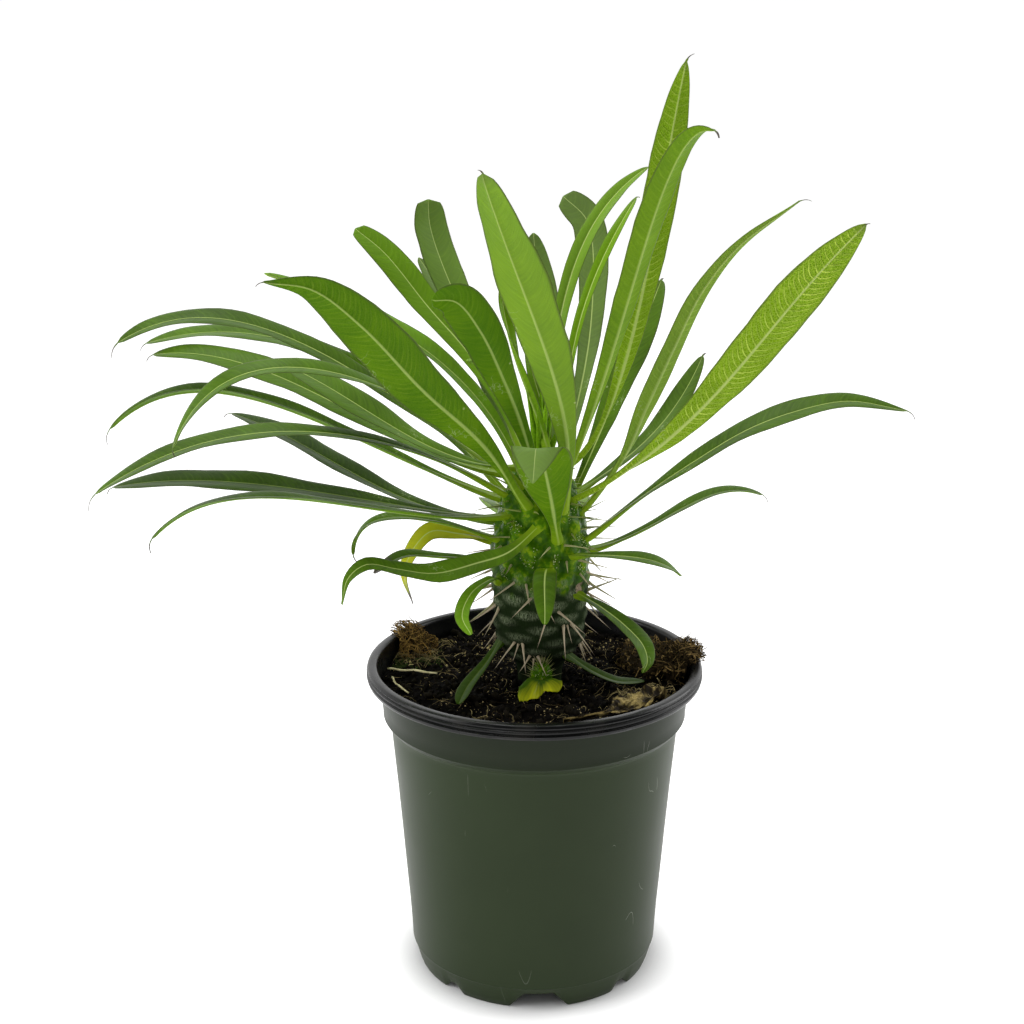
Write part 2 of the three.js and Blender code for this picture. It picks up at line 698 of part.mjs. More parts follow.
/** The hole the stem's foot fills, a clearance wider than the foot, up through the peat. */
const STEM_SOCKET = [
  [0, STEM_FOOT_Z - CLEARANCE],
  [8 + CLEARANCE, STEM_FOOT_Z - CLEARANCE],
  [10.6 + CLEARANCE, 132],
  [11.6, 150],
  [0, 150],
];

/** How high the peat stands above its mean level at a place, flat where it meets the pot. */
function peatLift(x, y) {
  const radius = Math.hypot(x, y);
  const inner = 1 - THREE.MathUtils.smoothstep(radius, 55, 68);
  const waves = Math.sin(x * 0.16 + 1) * Math.cos(y * 0.19) + 0.6 * Math.sin(x * 0.33 + y * 0.27);
  return SOIL_RELIEF * inner * waves;
}

/** The block of peat, before the stem's hole. */
function peatGeometry() {
  const wall = POT_INSIDE.slice(0, 3).map(([radius, z]) => [radius - CLEARANCE, z]);
  wall[0][1] += CLEARANCE;
  const top = [70.4, 62, 53, 44, 35, 26, 17].map((radius) => [radius, SOIL_Z]);
  const outline = [[0, FLOOR_Z + CLEARANCE], ...wall, ...top, [0, SOIL_Z]];
  const geometry = turned(outline, SOIL_SEGMENTS);
  const position = geometry.attributes.position;
  for (let i = 0; i < position.count; i += 1) {
    if (position.getZ(i) > SOIL_Z - 0.01) {
      position.setZ(i, SOIL_Z + peatLift(position.getX(i), position.getY(i)));
    }
  }
  return geometry;
}

function soilGeometry() {
  const hole = turned(STEM_SOCKET, STEM_SEGMENTS).translate(STEM_X, 0, 0);
  return geometryOf(solidOf(peatGeometry()).subtract(solidOf(hole)));
}

/** Points given as a place and a height over the peat. */
function overPeat(points) {
  return points.map(([x, y, height]) => new THREE.Vector3(x, y, SOIL_Z + peatLift(x, y) + height));
}

/** A stick of one thickness along a few points over the peat. */
function stick(points, diameter, steps) {
  const path = new THREE.CatmullRomCurve3(overPeat(points));
  const shape = new THREE.Shape();
  shape.absarc(0, 0, diameter / 2, 0, 2 * Math.PI);
  return new THREE.ExtrudeGeometry(shape, {
    steps,
    curveSegments: 3,
    extrudePath: path,
    bevelEnabled: false,
  });
}

/** A ragged lump of matted roots, clear of the pot and the soil, with loose ends standing out. */
function rootLump({ blobs, ends, reach, seed }) {
  const lumps = blobs.map(({ centre, size }) => {
    const lump = new THREE.IcosahedronGeometry(1, 2);
    const position = lump.attributes.position;
    for (let i = 0; i < position.count; i += 1) {
      const point = new THREE.Vector3().fromBufferAttribute(position, i);
      const rough = 1 + 0.13 * Math.sin(point.x * 7 + seed) * Math.cos(point.y * 6 + point.z * 5);
      point.multiplyScalar(rough).multiply(vector(size)).add(vector(centre));
      position.setXYZ(i, point.x, point.y, point.z);
    }
    return solidOf(lump);
  });
  const fibres = Array.from({ length: ends }, (_, i) => {
    const turn = 2 * Math.PI * draw(seed * 100 + i);
    const rise = radians(mix(20, 75, draw(seed * 200 + i)));
    const root = vector(blobs[i % blobs.length].centre);
    return solidOf(spineGeometry(root, heading(turn, rise), reach, FIBRE_RADIUS));
  });
  const whole = joined([...lumps, ...fibres]).trimByPlane([0, 0, 1], SOIL_Z + CLEARANCE);
  return geometryOf(largest(whole.subtract(potRoom()).subtract(soilRoom())));
}

/** The lip and the wall under it, with the clearance added. */
function potRoom() {
  const outer = RIM_RADIUS + CLEARANCE;
  const [, , [footRadius, foot], [wallRadius, wallTop]] = POT_INSIDE;
  const outline = [
    [footRadius - CLEARANCE, foot],
    [outer, foot],
    [outer, RIM_Z + CLEARANCE],
    [RIM_RADIUS - LIP_WIDTH - CLEARANCE, RIM_Z + CLEARANCE],
    [RIM_RADIUS - LIP_WIDTH - CLEARANCE, RIM_Z - 0.8],
    [wallRadius - CLEARANCE, wallTop],
    [footRadius - CLEARANCE, foot],
  ];
  return solidOf(turned(outline, POT_SEGMENTS));
}

/** What a lump or a spine leaves free for the peat under it. */
function soilRoom() {
  return solidOf(soilGeometry()).translate([0, 0, CLEARANCE]);
}

/** The largest body of a solid, without the crumbs a cut may leave. */
function largest(solid) {
  return solid.decompose().reduce((most, next) => (next.volume() > most.volume() ? next : most));
}

const FIBRE_RADIUS = 0.9;
const LEFT_LUMP = {
  blobs: [
    { centre: [-55, 37, 144], size: [12, 18, 7] },
    { centre: [-60, 43, 150], size: [10, 12, 5] },
  ],
  ends: 10,
  reach: 17,
  seed: 3,
};
const RIGHT_LUMP = {
  blobs: [
    { centre: [54, 20, 143], size: [14, 24, 6] },
    { centre: [65, 4, 148], size: [8, 15, 6] },
    { centre: [73, 2, 153], size: [6, 9, 3.5] },
  ],
  ends: 13,
  reach: 17,
  seed: 5,
};
const LONG_STRAW = [[-68, 6, 1.7], [-62, 5, 1.4], [-56, 4, 1.4], [-51, 3, 1.4], [-46, 2, 1.4]];
const SHORT_STRAW = [[-66, -5, 1.3], [-64, -12, 1.3], [-61, -18, 1.3], [-58, -23, 1.3]];

/** A withered leaf that lies curled on the peat. */
const DRY_LEAF_PATH = [[12, -53, 0.9], [24, -50, 2.9], [38, -45, 1.3], [52, -34, 4.1], [61, -20, 1]];
const DRY_LEAF_WIDTH = 11;

function dryLeafGeometry() {
  const curve = new THREE.CatmullRomCurve3(overPeat(DRY_LEAF_PATH));
  const rows = 12;
  const sections = Array.from({ length: rows + 1 }, (_, row) => {
    const u = row / rows;
    const along = curve.getTangentAt(u);
    const level = new THREE.Vector3().crossVectors(UP, along).normalize();
    const across = level.applyAxisAngle(along, radians(14 * Math.sin(9 * u)));
    const normal = new THREE.Vector3().crossVectors(along, across);
    const width = 1.5 + DRY_LEAF_WIDTH * Math.sin(Math.PI * u) ** 0.7 * mix(0.7, 1, draw(row));
    const lift = radians(24);
    return crossSection(curve.getPointAt(u), across, normal, width, lift, BLADE_DEPTH, 0);
  });
  return bladeGeometry(sections);
}

/** The torn scrap of leaf that hangs from the offset to the peat. */
const SCRAP_OUTLINE = [
  [1, -22.8], [-3, -22.7], [-6.5, -25], [-8, -30], [-4, -30.5], [0, -29],
  [3, -26.5], [6, -28], [10, -27.5], [12, -24], [9, -22.6], [5, -22.7],
];
const SCRAP_SLOPE = 1;

function scrapGeometry() {
  const shape = new THREE.Shape(SCRAP_OUTLINE.map(([x, y]) => new THREE.Vector2(x, y)));
  const geometry = new THREE.ExtrudeGeometry(shape, { depth: BLADE_DEPTH, bevelEnabled: false });
  const position = geometry.attributes.position;
  const foot = Math.min(...SCRAP_OUTLINE.map(([, y]) => y));
  for (let i = 0; i < position.count; i += 1) {
    const [x, y, z] = [position.getX(i), position.getY(i), position.getZ(i)];
    const ground = SOIL_Z + peatLift(x, y) + CLEARANCE;
    position.setZ(i, z + ground + SCRAP_SLOPE * (y - foot));
  }
  return geometry;
}

// ---- The object -------------------------------------------------------------------------------

const group = new THREE.Group();

function place(name, geometry, look) {
  const mesh = new THREE.Mesh(geometry, look);
  mesh.name = name;
  group.add(mesh);
}

place('pot', potGeometry(), POT_GREEN);
place('soil', soilGeometry(), SOIL_BROWN);

const leafSolids = [];
const leafGroups = [
  [YOUNG_LEAVES, YOUNG_GREEN],
  [UPRIGHT_LEAVES, LEAF_GREEN],
  [RIGHT_LEAVES, LEAF_GREEN],
  [LEFT_LEAVES, LEAF_GREEN],
  [LOW_LEAVES, LEAF_GREEN],
];
for (const [leaves, look] of leafGroups) {
  for (const leaf of leaves) {
    const geometry = seated(bladeGeometry(leafSections(leaf)), leaf.knob);
    leafSolids.push(solidOf(geometry));
    place(`leaf_${String(leaf.knob).padStart(2, '0')}`, geometry, leaf.knob === 43 ? YELLOWED : look);
  }
}

place('stem', stemGeometry(leafSolids), STEM_GREEN);
place('root_lump_left', rootLump(LEFT_LUMP), ROOT_BROWN);
place('root_lump_right', rootLump(RIGHT_LUMP), ROOT_BROWN);
place('dry_leaf', dryLeafGeometry(), DRY_LEAF);
place('torn_leaf', scrapGeometry(), YELLOWED);
place('straw_long', stick(LONG_STRAW, 1.3, 4), STRAW);
place('straw_short', stick(SHORT_STRAW, 1.2, 3), STRAW);

const bounds = new THREE.Box3().setFromObject(group);
const middle = bounds.getCenter(new THREE.Vector3());
group.position.set(-middle.x, -middle.y, -bounds.min.z);
group.updateMatrixWorld(true);

export default group;
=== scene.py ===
"""A young Madagascar palm (Pachypodium) in its nursery pot.

The pot is thermoformed polypropylene, green outside and black inside. It holds peat with crumbs,
loose fibres, moss and two clumps of matted roots. The plant is a spiny green stem whose knobs
follow the golden angle, with one leaf to a knob and a tuft of rolled young leaves at the top.
Shapes are worked out in millimetres from the pot's own axis, with the floor at height 0, and are
moved to their place in metres as each piece is finished.
"""

import math

import bmesh
import bpy
from bpy.props import FloatProperty, FloatVectorProperty, IntProperty, PointerProperty
from bpy.types import Operator, Panel, PropertyGroup
from mathutils import Matrix, Quaternion, Vector, noise
from mathutils.bvhtree import BVHTree


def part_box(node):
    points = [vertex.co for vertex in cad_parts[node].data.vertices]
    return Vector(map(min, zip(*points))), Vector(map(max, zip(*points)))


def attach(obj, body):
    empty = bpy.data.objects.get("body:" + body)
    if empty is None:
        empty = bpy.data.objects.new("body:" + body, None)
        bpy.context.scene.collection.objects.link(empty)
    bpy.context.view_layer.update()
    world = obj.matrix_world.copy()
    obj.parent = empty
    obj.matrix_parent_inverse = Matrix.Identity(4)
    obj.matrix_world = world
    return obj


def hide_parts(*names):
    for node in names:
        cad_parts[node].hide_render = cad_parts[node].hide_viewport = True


bl_info = {
    "name": "Madagascar Palm in a Nursery Pot",
    "version": (1, 0, 0),
    "blender": (4, 5, 0),
    "location": "View3D > Sidebar > Palm",
    "description": "Dresses a potted Madagascar palm: pot, peat, litter, stem, spines and leaves",
    "category": "Add Mesh",
}

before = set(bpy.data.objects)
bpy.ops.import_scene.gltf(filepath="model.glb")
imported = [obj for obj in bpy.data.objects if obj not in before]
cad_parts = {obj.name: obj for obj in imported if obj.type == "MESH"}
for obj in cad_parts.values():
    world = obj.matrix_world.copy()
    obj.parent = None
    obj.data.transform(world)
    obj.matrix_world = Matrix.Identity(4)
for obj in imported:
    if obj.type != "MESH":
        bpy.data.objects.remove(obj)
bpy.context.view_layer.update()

MM = 0.001
POT_LOW, POT_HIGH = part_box("pot")
POT_AXIS = Vector(((POT_LOW.x + POT_HIGH.x) / 2, (POT_LOW.y + POT_HIGH.y) / 2, 0))
RIM_RADIUS = (POT_HIGH.x - POT_LOW.x) / 2
POT_HEIGHT = POT_HIGH.z

CAMERA_PLACE = (-10.4, -783.5, 456.5)  # from the pot's axis, in millimetres
CAMERA_TILT = 73.33
SEED = 7
FIRST_NOTCH_TURN = math.radians(272)
LIP_HEIGHT = 7
FOOT_RADIUS = 56
INSIDE_FOOT = 55.8  # radius of the lowest line inside the pot
FOOT_TOP = 11  # the notches leave the wall alone above this
WIDE_NOTCH = 14  # half widths at the foot
NARROW_NOTCH = 6
WIDE_SLOPE = 7  # how far the sides of a notch slope
NARROW_SLOPE = 4
FLOOR_TOP = 10.5  # of the pot's own floor
FLOOR_THICKNESS = 1.4
HOLE_RING = 46.2
SOIL_Z = 141
SOIL_RELIEF = 1.1
SOIL_RADIUS = 70.9
LITTER_REACH = 70.4  # how far out litter may lie
ABOVE_LIP = 150.6  # where it may lie further out

# ---- The plant's own dimensions, in millimetres and degrees ---------------------------------

STEM_X = 2.5
STEM_TOP_Z = 250
# Radius and height of the stem from its buried foot to its growing tip.
STEM_OUTLINE = (
    (8, 112), (10, 130), (11, 148), (16, 156), (20, 163), (21, 175), (21.5, 195),
    (20.5, 210), (18, 222), (15, 232), (11, 240), (7, 246), (0, STEM_TOP_Z),
)
GOLDEN_ANGLE = 137.508
FIRST_KNOB_ANGLE = 20
KNOB_COUNT = 104
KNOB_SPACING = 1.15  # drop from knob to knob near the tip
KNOB_PACKING = 0.95  # how that drop shrinks further down
SEAT_HEIGHT = 1.3  # of the flat top of a knob, where its leaf starts
SEAT_SIZE = 3.4
FIRST_SPINY_KNOB = 6
SPINE_SPREAD = 36
YOUNG_SPINE_RISE = 30
OLD_SPINE_RISE = -62
# Spines of the knobs whose leaves have dropped: (height, compass angle, rise, length).
SIDE_SPINES = (
    (192, 4, -13, 19.5), (190, -8, -32, 19), (183, 8, 17, 19), (181, -4, -27, 15),
    (201, 12, -50, 15), (183, -14, -54, 12), (186, 172, -20, 18), (179, 186, -38, 18),
    (196, 160, -30, 17), (188, 96, -20, 17), (178, 64, -35, 16), (192, 128, -15, 17),
)

PETIOLE_WIDTH = 4
PETIOLE_DEPTH = 3.0
TIP_WIDTH = 1
WIDEST_AT = 0.68
TAPER = 1.35
MOST_SWING = math.radians(28)
HOOK_BEND = 62
CLEARANCE = 0.35
SEATING = 0.77  # how far each leaf settles back into its knob

# One entry a leaf.  knob: the knob it grows from.  rise: the angle at which it leaves the knob.
# lead: how far it turns aside there.  tip: where it ends.  tip_rise: the slope at which it ends.
# width: its greatest width.  roll: the turn of the blade about its midrib.  fold: the lift of
# its halves.  reach and curl: the handles of its arc, as shares of its length.  hook: its thin
# drip tip.  via: points on the midrib of a leaf that bends twice.  widest and taper: where it is
# widest, as a share of its length, and how slowly it widens and closes.  tone: 0 for the darkest
# green, 1 for the brightest.  top: the same for the upper side, where it differs.
# bloom_and_sheen: how waxy it is, with a pale sheen painted on it as well.  veined: how much its
# veins show.  dead: how much of its tip is dry.

YOUNG_LEAVES = (
    dict(knob=0, rise=84, tip=(-4, 14, 301), tip_rise=86, width=7, fold=25),
    dict(knob=1, rise=58, tip=(-31, 4, 292), tip_rise=12, width=10, fold=15),
    dict(knob=2, rise=86, lead=30, tip=(-15, 16, 323), tip_rise=80, width=8, fold=25, reach=0.2),
    dict(
        knob=3, bloom_and_sheen=0.06, rise=80, tip=(54, 80, 369), tip_rise=22, width=9, fold=20, roll=20,
        hook=4,
    ),
    dict(
        knob=8, rise=86, lead=20, tip=(47, 50, 358), tip_rise=32, width=7, fold=20, reach=0.5,
        hook=4,
    ),
)
UPRIGHT_LEAVES = (
    dict(
        knob=23, tone=0.42, bloom_and_sheen=0.07, veined=0.15, rise=72, tip=(-21, -95, 384), tip_rise=69,
        width=25, fold=10, reach=0.3, widest=0.74, hook=3,
    ),
    dict(
        knob=7, tone=0.06, veined=0.15,
        via=((-6, -21, 266), (-14, -34, 290), (-24, -48, 315), (-34, -57, 329)),
        tip=(-43, -60, 330), width=19, fold=6, roll=55, widest=0.78,
    ),
    dict(
        knob=5, tone=0.55, veined=0.6, rise=28, tip=(62, -20, 422), tip_rise=78, width=15, fold=10,
        roll=-65, reach=0.2, taper=1.6, hook=5,
    ),
    dict(
        knob=10, tone=0.36, bloom_and_sheen=0.03, veined=0.18, rise=58, tip=(68, -80, 399), tip_rise=-10,
        width=14, fold=22, roll=-15, curl=0.2, hook=4,
    ),
    dict(
        knob=6, tone=0.62, veined=0.4,
        via=((-16, 29, 267), (-32, 44, 288), (-50, 57, 306), (-71, 68, 330)), tip=(-85, 72, 341),
        width=17, fold=8, roll=-15, widest=0.8,
    ),
    dict(knob=19, tone=0.75, rise=42, tip=(-131, 88, 317), tip_rise=18, width=19, fold=20),
    dict(
        knob=11, tone=0.5, bloom_and_sheen=0.12,
        via=((-11, 38, 263), (-25, 60, 287), (-40, 80, 313), (-50, 93, 339)), tip=(-51, 95, 352),
        width=19, fold=8, widest=0.84,
    ),
    dict(
        knob=32, tone=0.25, bloom_and_sheen=0.14, rise=58, lead=18, tip=(-57, 112, 321), tip_rise=45,
        width=18, fold=8,
    ),
    dict(knob=24, tone=0.3, bloom_and_sheen=0.14, rise=74, tip=(0, 85, 337), tip_rise=74, width=18, fold=10),
    dict(
        knob=16, tone=0.35, bloom_and_sheen=0.16,
        via=((22, 46, 268), (28, 72, 297), (29, 97, 332), (26, 102, 342)), tip=(15, 107, 352),
        width=16, fold=6, widest=0.84,
    ),
    dict(knob=29, tone=0.3, rise=52, tip=(62, 80, 315), tip_rise=44, width=17, fold=12, hook=3),
)
RIGHT_LEAVES = (
    dict(
        knob=26, tone=0.55, bloom_and_sheen=0.12, veined=0.35,
        via=((40, 0, 248), (50, 2, 270), (62, 4, 297), (74, 6, 322), (90, 8, 342)),
        tip=(116, 10, 361), width=11, fold=10, roll=-62, widest=0.44, taper=1.2, hook=6,
    ),
    dict(
        knob=18, tone=0.58, veined=1, rise=28, tip=(131, -65, 361), tip_rise=46, width=20, fold=6,
        roll=-62, taper=1.6, hook=2,
    ),
    dict(
        knob=39, tone=0.25,
        via=((47, -6, 230), (72, -4, 247), (96, -1, 261), (118, 1, 269), (141, 3, 273)),
        tip=(168, 5, 268), width=17, fold=10, roll=18, widest=0.6, hook=6,
    ),
    dict(
        knob=21, tone=0.3, bloom_and_sheen=0.03, rise=22, tip=(80, 50, 284), tip_rise=58, width=14, fold=10,
        hook=3,
    ),
    dict(knob=47, tone=0.3, rise=8, tip=(105, 8, 228), tip_rise=-22, width=12, fold=15, hook=5),
    dict(
        knob=44, tone=0.3, rise=12, tip=(66, -20, 198), tip_rise=-46, width=11, fold=10, roll=8,
        reach=0.5,
    ),
)
LEFT_LEAVES = (
    dict(
        knob=20, tone=0.08, veined=0.2,
        via=((-22, -31, 260), (-48, -54, 291), (-71, -75, 322), (-89, -88, 339)),
        tip=(-106, -96, 343), width=23, fold=14, roll=58, widest=0.58, taper=1.5, hook=4,
    ),
    dict(
        knob=12, tone=0.35, rise=46, tip=(-148, -80, 273), tip_rise=-68, width=14, fold=12,
        roll=-16, curl=0.45, hook=4,
    ),
    dict(
        knob=14, tone=0.2, rise=21, tip=(-190, 22, 296), tip_rise=-30, width=18, fold=10,
        roll=-14, hook=8,
    ),
    dict(
        knob=27, tone=0.35, rise=33, tip=(-187, 70, 286), tip_rise=-16, width=20, fold=10,
        roll=-10, hook=5,
    ),
    dict(
        knob=9, tone=0.35, rise=2, tip=(-174, 20, 291), tip_rise=-10, width=20, fold=10, roll=-16,
        reach=0.3, hook=5,
    ),
    dict(
        knob=4, tone=0.35, rise=2, tip=(-110, -5, 291), tip_rise=14, width=21, fold=10, roll=-12,
    ),
    dict(
        knob=22, tone=0.2, rise=13, tip=(-196, 20, 256), tip_rise=-44, width=14, fold=28, hook=8,
    ),
    dict(knob=35, tone=0.03, rise=-6, tip=(-149, 80, 249), tip_rise=8, width=19, fold=12, hook=6),
    dict(
        knob=17, tone=0.2, rise=34, tip=(-188, -50, 245), tip_rise=-34, width=17, fold=10,
        roll=-8, hook=9,
    ),
    dict(
        knob=30, tone=0.02, rise=5, tip=(-194, 10, 231), tip_rise=-14, width=20, fold=10,
        roll=-10, reach=0.3, hook=5,
    ),
    dict(
        knob=25, tone=0.12, rise=2, tip=(-165, -50, 225), tip_rise=-48, width=14, fold=12, roll=6,
        hook=7,
    ),
    dict(
        knob=38, tone=0.3, rise=22, tip=(-82, -20, 208), tip_rise=-88, width=12, fold=12,
        curl=0.45, hook=5,
    ),
)
LOW_LEAVES = (
    dict(knob=37, rise=14, tip=(14, 106, 180), tip_rise=-45, width=19, fold=12, hook=6),
    dict(knob=45, rise=6, tip=(4, 84, 168), tip_rise=-60, width=16, fold=12, hook=5),
    dict(knob=40, rise=16, tip=(-10, 102, 186), tip_rise=-40, width=18, fold=12, hook=6),
    dict(
        knob=49, tone=0.3, rise=4, lead=-22, tip=(4, -43, 183), tip_rise=-80, width=10, fold=8,
        widest=0.42, taper=0.5,
    ),
    dict(
        knob=36, tone=0.1, top=0.7, bloom_and_sheen=0.2,
        via=((6.5, -37, 240), (2, -49, 262), (0, -54, 266), (-0.5, -58, 264)),
        tip=(-1.5, -66, 254), width=25, fold=3, widest=0.64, taper=2,
    ),
    dict(
        knob=51, tone=0.4, dead=9, via=((-42, -13, 205), (-60, -19, 207)), tip=(-73, -22, 200),
        width=11, fold=15,
    ),
    dict(
        knob=28, tone=0.4,
        via=(
            (-12, -29, 212), (-26, -32, 208), (-44, -40, 206), (-60, -46, 210), (-73, -49, 213),
            (-81, -50, 207),
        ),
        tip=(-84, -50, 195), width=12, fold=8, roll=-30, widest=0.48,
    ),
    dict(
        knob=65, tone=0.14, via=((29, -29, 187), (40, -38, 181), (48, -42, 173), (50, -42, 165)),
        tip=(48, -42, 160), width=12, fold=10,
    ),
    dict(
        knob=59, tone=0.8, via=((-21, -28, 199), (-29, -35, 195), (-33, -40, 186)),
        tip=(-29, -42, 178), width=8, fold=10,
    ),
    dict(
        knob=93, tone=-0.1, veined=0, via=((-23, -17, 155), (-31, -26, 147.5)),
        tip=(-35, -37, 143), width=8, fold=15,
    ),
    dict(
        knob=99, tone=-0.05, veined=0, via=((27, -15, 150), (38, -16, 145.5)), tip=(51, -10, 143),
        width=8, fold=12,
    ),
)
YELLOWED_LEAVES = (
    dict(
        knob=43, dead=5, via=((-36, 3, 211), (-48, 3, 212), (-55, 2, 206), (-61, 2, 192)),
        tip=(-57, 2, 177), width=11, fold=6, roll=-35, widest=0.45,
    ),
)


# ---- Small tools ----------------------------------------------------------------------------


def linear(code):
    """An sRGB hex colour as the linear values that the shaders use."""
    parts = [int(code[i : i + 2], 16) / 255 for i in (1, 3, 5)]
    return tuple(c / 12.92 if c <= 0.04045 else ((c + 0.055) / 1.055) ** 2.4 for c in parts)


def colour(name, description, code):
    """A colour property whose default is an sRGB hex colour."""
    return FloatVectorProperty(
        name=name, description=description, default=linear(code), subtype="COLOR", size=3
    )


def mix(a, b, share):
    return a + (b - a) * share


def clamp(value, low=0.0, high=1.0):
    return max(low, min(high, value))


def ease(value, start, end):
    """0 before start, 1 after end, and a smooth rise between."""
    share = clamp((value - start) / (end - start))
    return share * share * (3 - 2 * share)


def draw(n):
    """A repeatable draw between 0 and 1 for the number n."""
    wave = math.sin(n * 12.9898 + SEED * 78.233) * 43758.5453
    return wave - math.floor(wave)


def heading(angle, rise):
    """The unit vector at a compass angle and a rise from level, both in radians."""
    level = math.cos(rise)
    return Vector((math.cos(angle) * level, math.sin(angle) * level, math.sin(rise)))


def rough(x, y, z, size):
    """Noise between about -1 and 1 whose lumps are about `size` millimetres across."""
    return noise.noise(Vector((x, y, z)) / size)


def smooth_through(points, steps=24):
    """A rounded line through the given points, with `steps` short pieces between each two."""
    points = [Vector(point) for point in points]
    ends = [points[0] * 2 - points[1], *points, points[-1] * 2 - points[-2]]
    line = []
    for a, b, c, d in zip(ends, ends[1:], ends[2:], ends[3:]):
        before, over, after = (gap.length**0.5 for gap in (b - a, c - b, d - c))
        leave = ((b - a) / before - (c - a) / (before + over) + (c - b) / over) * over
        arrive = ((c - b) / over - (d - b) / (over + after) + (d - c) / after) * over
        for i in range(steps):
            t = i / steps
            line.append(
                b
                + leave * t
                + ((c - b) * 3 - leave * 2 - arrive) * t**2
                + ((b - c) * 2 + leave + arrive) * t**3
            )
    return [*line, points[-1]]


def spread(line, shares):
    """(place, direction) at each share of a line's length."""
    lengths = [0.0]
    for a, b in zip(line, line[1:]):
        lengths.append(lengths[-1] + (b - a).length)
    found = []
    at = 0
    for share in shares:
        goal = clamp(share) * lengths[-1]
        while at < len(line) - 2 and lengths[at + 1] < goal:
            at += 1
        part = clamp((goal - lengths[at]) / max(lengths[at + 1] - lengths[at], 1e-9))
        before, after = line[max(at - 1, 0)], line[min(at + 2, len(line) - 1)]
        direction = (line[at + 1] - before).lerp(after - line[at], part).normalized()
        found.append((line[at].lerp(line[at + 1], part), direction))
    return found


def repeat(bm, count):
    """Repeats what bm holds until there are `count` of it, numbered in the layer it returns."""
    item = bm.verts.layers.int.new("item")
    made = 1
    while made < count:
        extra = min(made, count - made)
        geom = [vert for vert in bm.verts if vert[item] < extra]
        geom += [edge for edge in bm.edges if edge.verts[0][item] < extra]
        geom += [face for face in bm.faces if face.verts[0][item] < extra]
        for part in bmesh.ops.duplicate(bm, geom=geom)["geom"]:
            if isinstance(part, bmesh.types.BMVert):
                part[item] += made
        made += extra
    return item


def strands(paths, sides, tones):
    """Round strands, one along each path of (place, radius) pairs, all paths as long."""
    rows = len(paths[0])
    bm = bmesh.new()
    row_of = bm.verts.layers.int.new("row")
    column_of = bm.verts.layers.int.new("column")
    bmesh.ops.create_grid(bm, x_segments=rows - 1, y_segments=sides, size=1)
    for vert in bm.verts:
        vert[row_of] = round((vert.co.x + 1) / 2 * (rows - 1))
        vert[column_of] = round((vert.co.y + 1) / 2 * sides)
    item = repeat(bm, len(paths))
    tone = bm.verts.layers.float.new("tone")
    share = bm.verts.layers.float.new("share")
    frames = []
    for path in paths:
        whole = path[-1][0] - path[0][0]
        lying = abs(whole.normalized().z) < 0.7
        reference = Vector((0.3, 0.5, 1) if lying else (1, 0.3, 0))
        row_frames = []
        for i, (place, radius) in enumerate(path):
            along = path[min(i + 1, rows - 1)][0] - path[max(i - 1, 0)][0]
            across = along.cross(reference).normalized()
            row_frames.append((place, radius, across, along.cross(across).normalized()))
        frames.append(row_frames)
    for vert in bm.verts:
        place, radius, across, up = frames[vert[item]][vert[row_of]]
        turn = 2 * math.pi * (vert[column_of] % sides) / sides
        vert.co = place + (across * math.cos(turn) + up * math.sin(turn)) * radius
        vert[tone] = tones[vert[item]]
        vert[share] = vert[row_of] / (rows - 1)
    bmesh.ops.remove_doubles(bm, verts=bm.verts, dist=0.0005)
    bmesh.ops.recalc_face_normals(bm, faces=bm.faces)
    return bm


def crumbs(places, lengthen=1.0):
    """Small rough lumps at (place, size, tone)."""
    bm = bmesh.new()
    bmesh.ops.create_icosphere(bm, subdivisions=1, radius=1)
    item = repeat(bm, len(places))
    tone = bm.verts.layers.float.new("tone")
    turns = [
        Quaternion((draw(i * 3.1), draw(i * 5.7) - 0.5, draw(i * 7.3) - 0.5, draw(i * 9.1) - 0.5))
        for i in range(len(places))
    ]
    for vert in bm.verts:
        i = vert[item]
        place, size, shade = places[i]
        lump = vert.co * size * (0.45 + 0.9 * draw(i * 1.7 + vert.co.x * 11 + vert.co.z * 5))
        lump.x *= lengthen * (0.7 + 1.4 * draw(i * 2.3))
        lump.z *= 0.5 + 0.6 * draw(i * 2.9)
        vert[tone] = shade
        vert.co = Vector(place) + turns[i].normalized() @ lump
    bmesh.ops.recalc_face_normals(bm, faces=bm.faces)
    return bm


def turned(outline, steps):
    """A closed shape, turned about the axis from (radius, height) pairs."""
    bm = bmesh.new()
    verts = [bm.verts.new((radius, 0, height)) for radius, height in outline]
    edges = [bm.edges.new(pair) for pair in zip(verts, verts[1:])]
    if outline[0][0] > 0:
        edges.append(bm.edges.new((verts[-1], verts[0])))
    bmesh.ops.spin(
        bm, geom=verts + edges, cent=(0, 0, 0), axis=(0, 0, 1), angle=2 * math.pi,
        steps=steps, use_merge=True, use_duplicate=False,
    )
    bmesh.ops.remove_doubles(bm, verts=bm.verts, dist=0.001)
    bmesh.ops.recalc_face_normals(bm, faces=bm.faces)
    return bm


def gathered(*parts):
    """One bmesh that holds several."""
    whole = bmesh.new()
    for bm in parts:
        held = bpy.data.meshes.new("held")
        bm.to_mesh(held)
        bm.free()
        whole.from_mesh(held)
        bpy.data.meshes.remove(held)
    return whole


def finished(bm, name, materials, nodes=(), sharp=None):
    """Puts a shape in its place in metres and makes it a piece of the object."""
    bmesh.ops.transform(
        bm, matrix=Matrix.Translation(POT_AXIS) @ Matrix.Scale(MM, 4), verts=bm.verts
    )
    for face in bm.faces:
        face.smooth = True
    mesh = bpy.data.meshes.new(name)
    bm.to_mesh(mesh)
    bm.free()
    if sharp:
        mesh.set_sharp_from_angle(angle=math.radians(sharp))
    for material in materials:
        mesh.materials.append(material)
    piece = bpy.data.objects.new(name, mesh)
    bpy.context.scene.collection.objects.link(piece)
    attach(piece, "root")
    if nodes:
        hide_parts(*nodes)
    return piece


def feed(tree, node, sockets):
    """Gives a node's sockets a value, or a link from another node's output."""
    for key, value in sockets.items():
        if isinstance(value, bpy.types.NodeSocket):
            tree.links.new(value, node.inputs[key])
        else:
            node.inputs[key].default_value = value


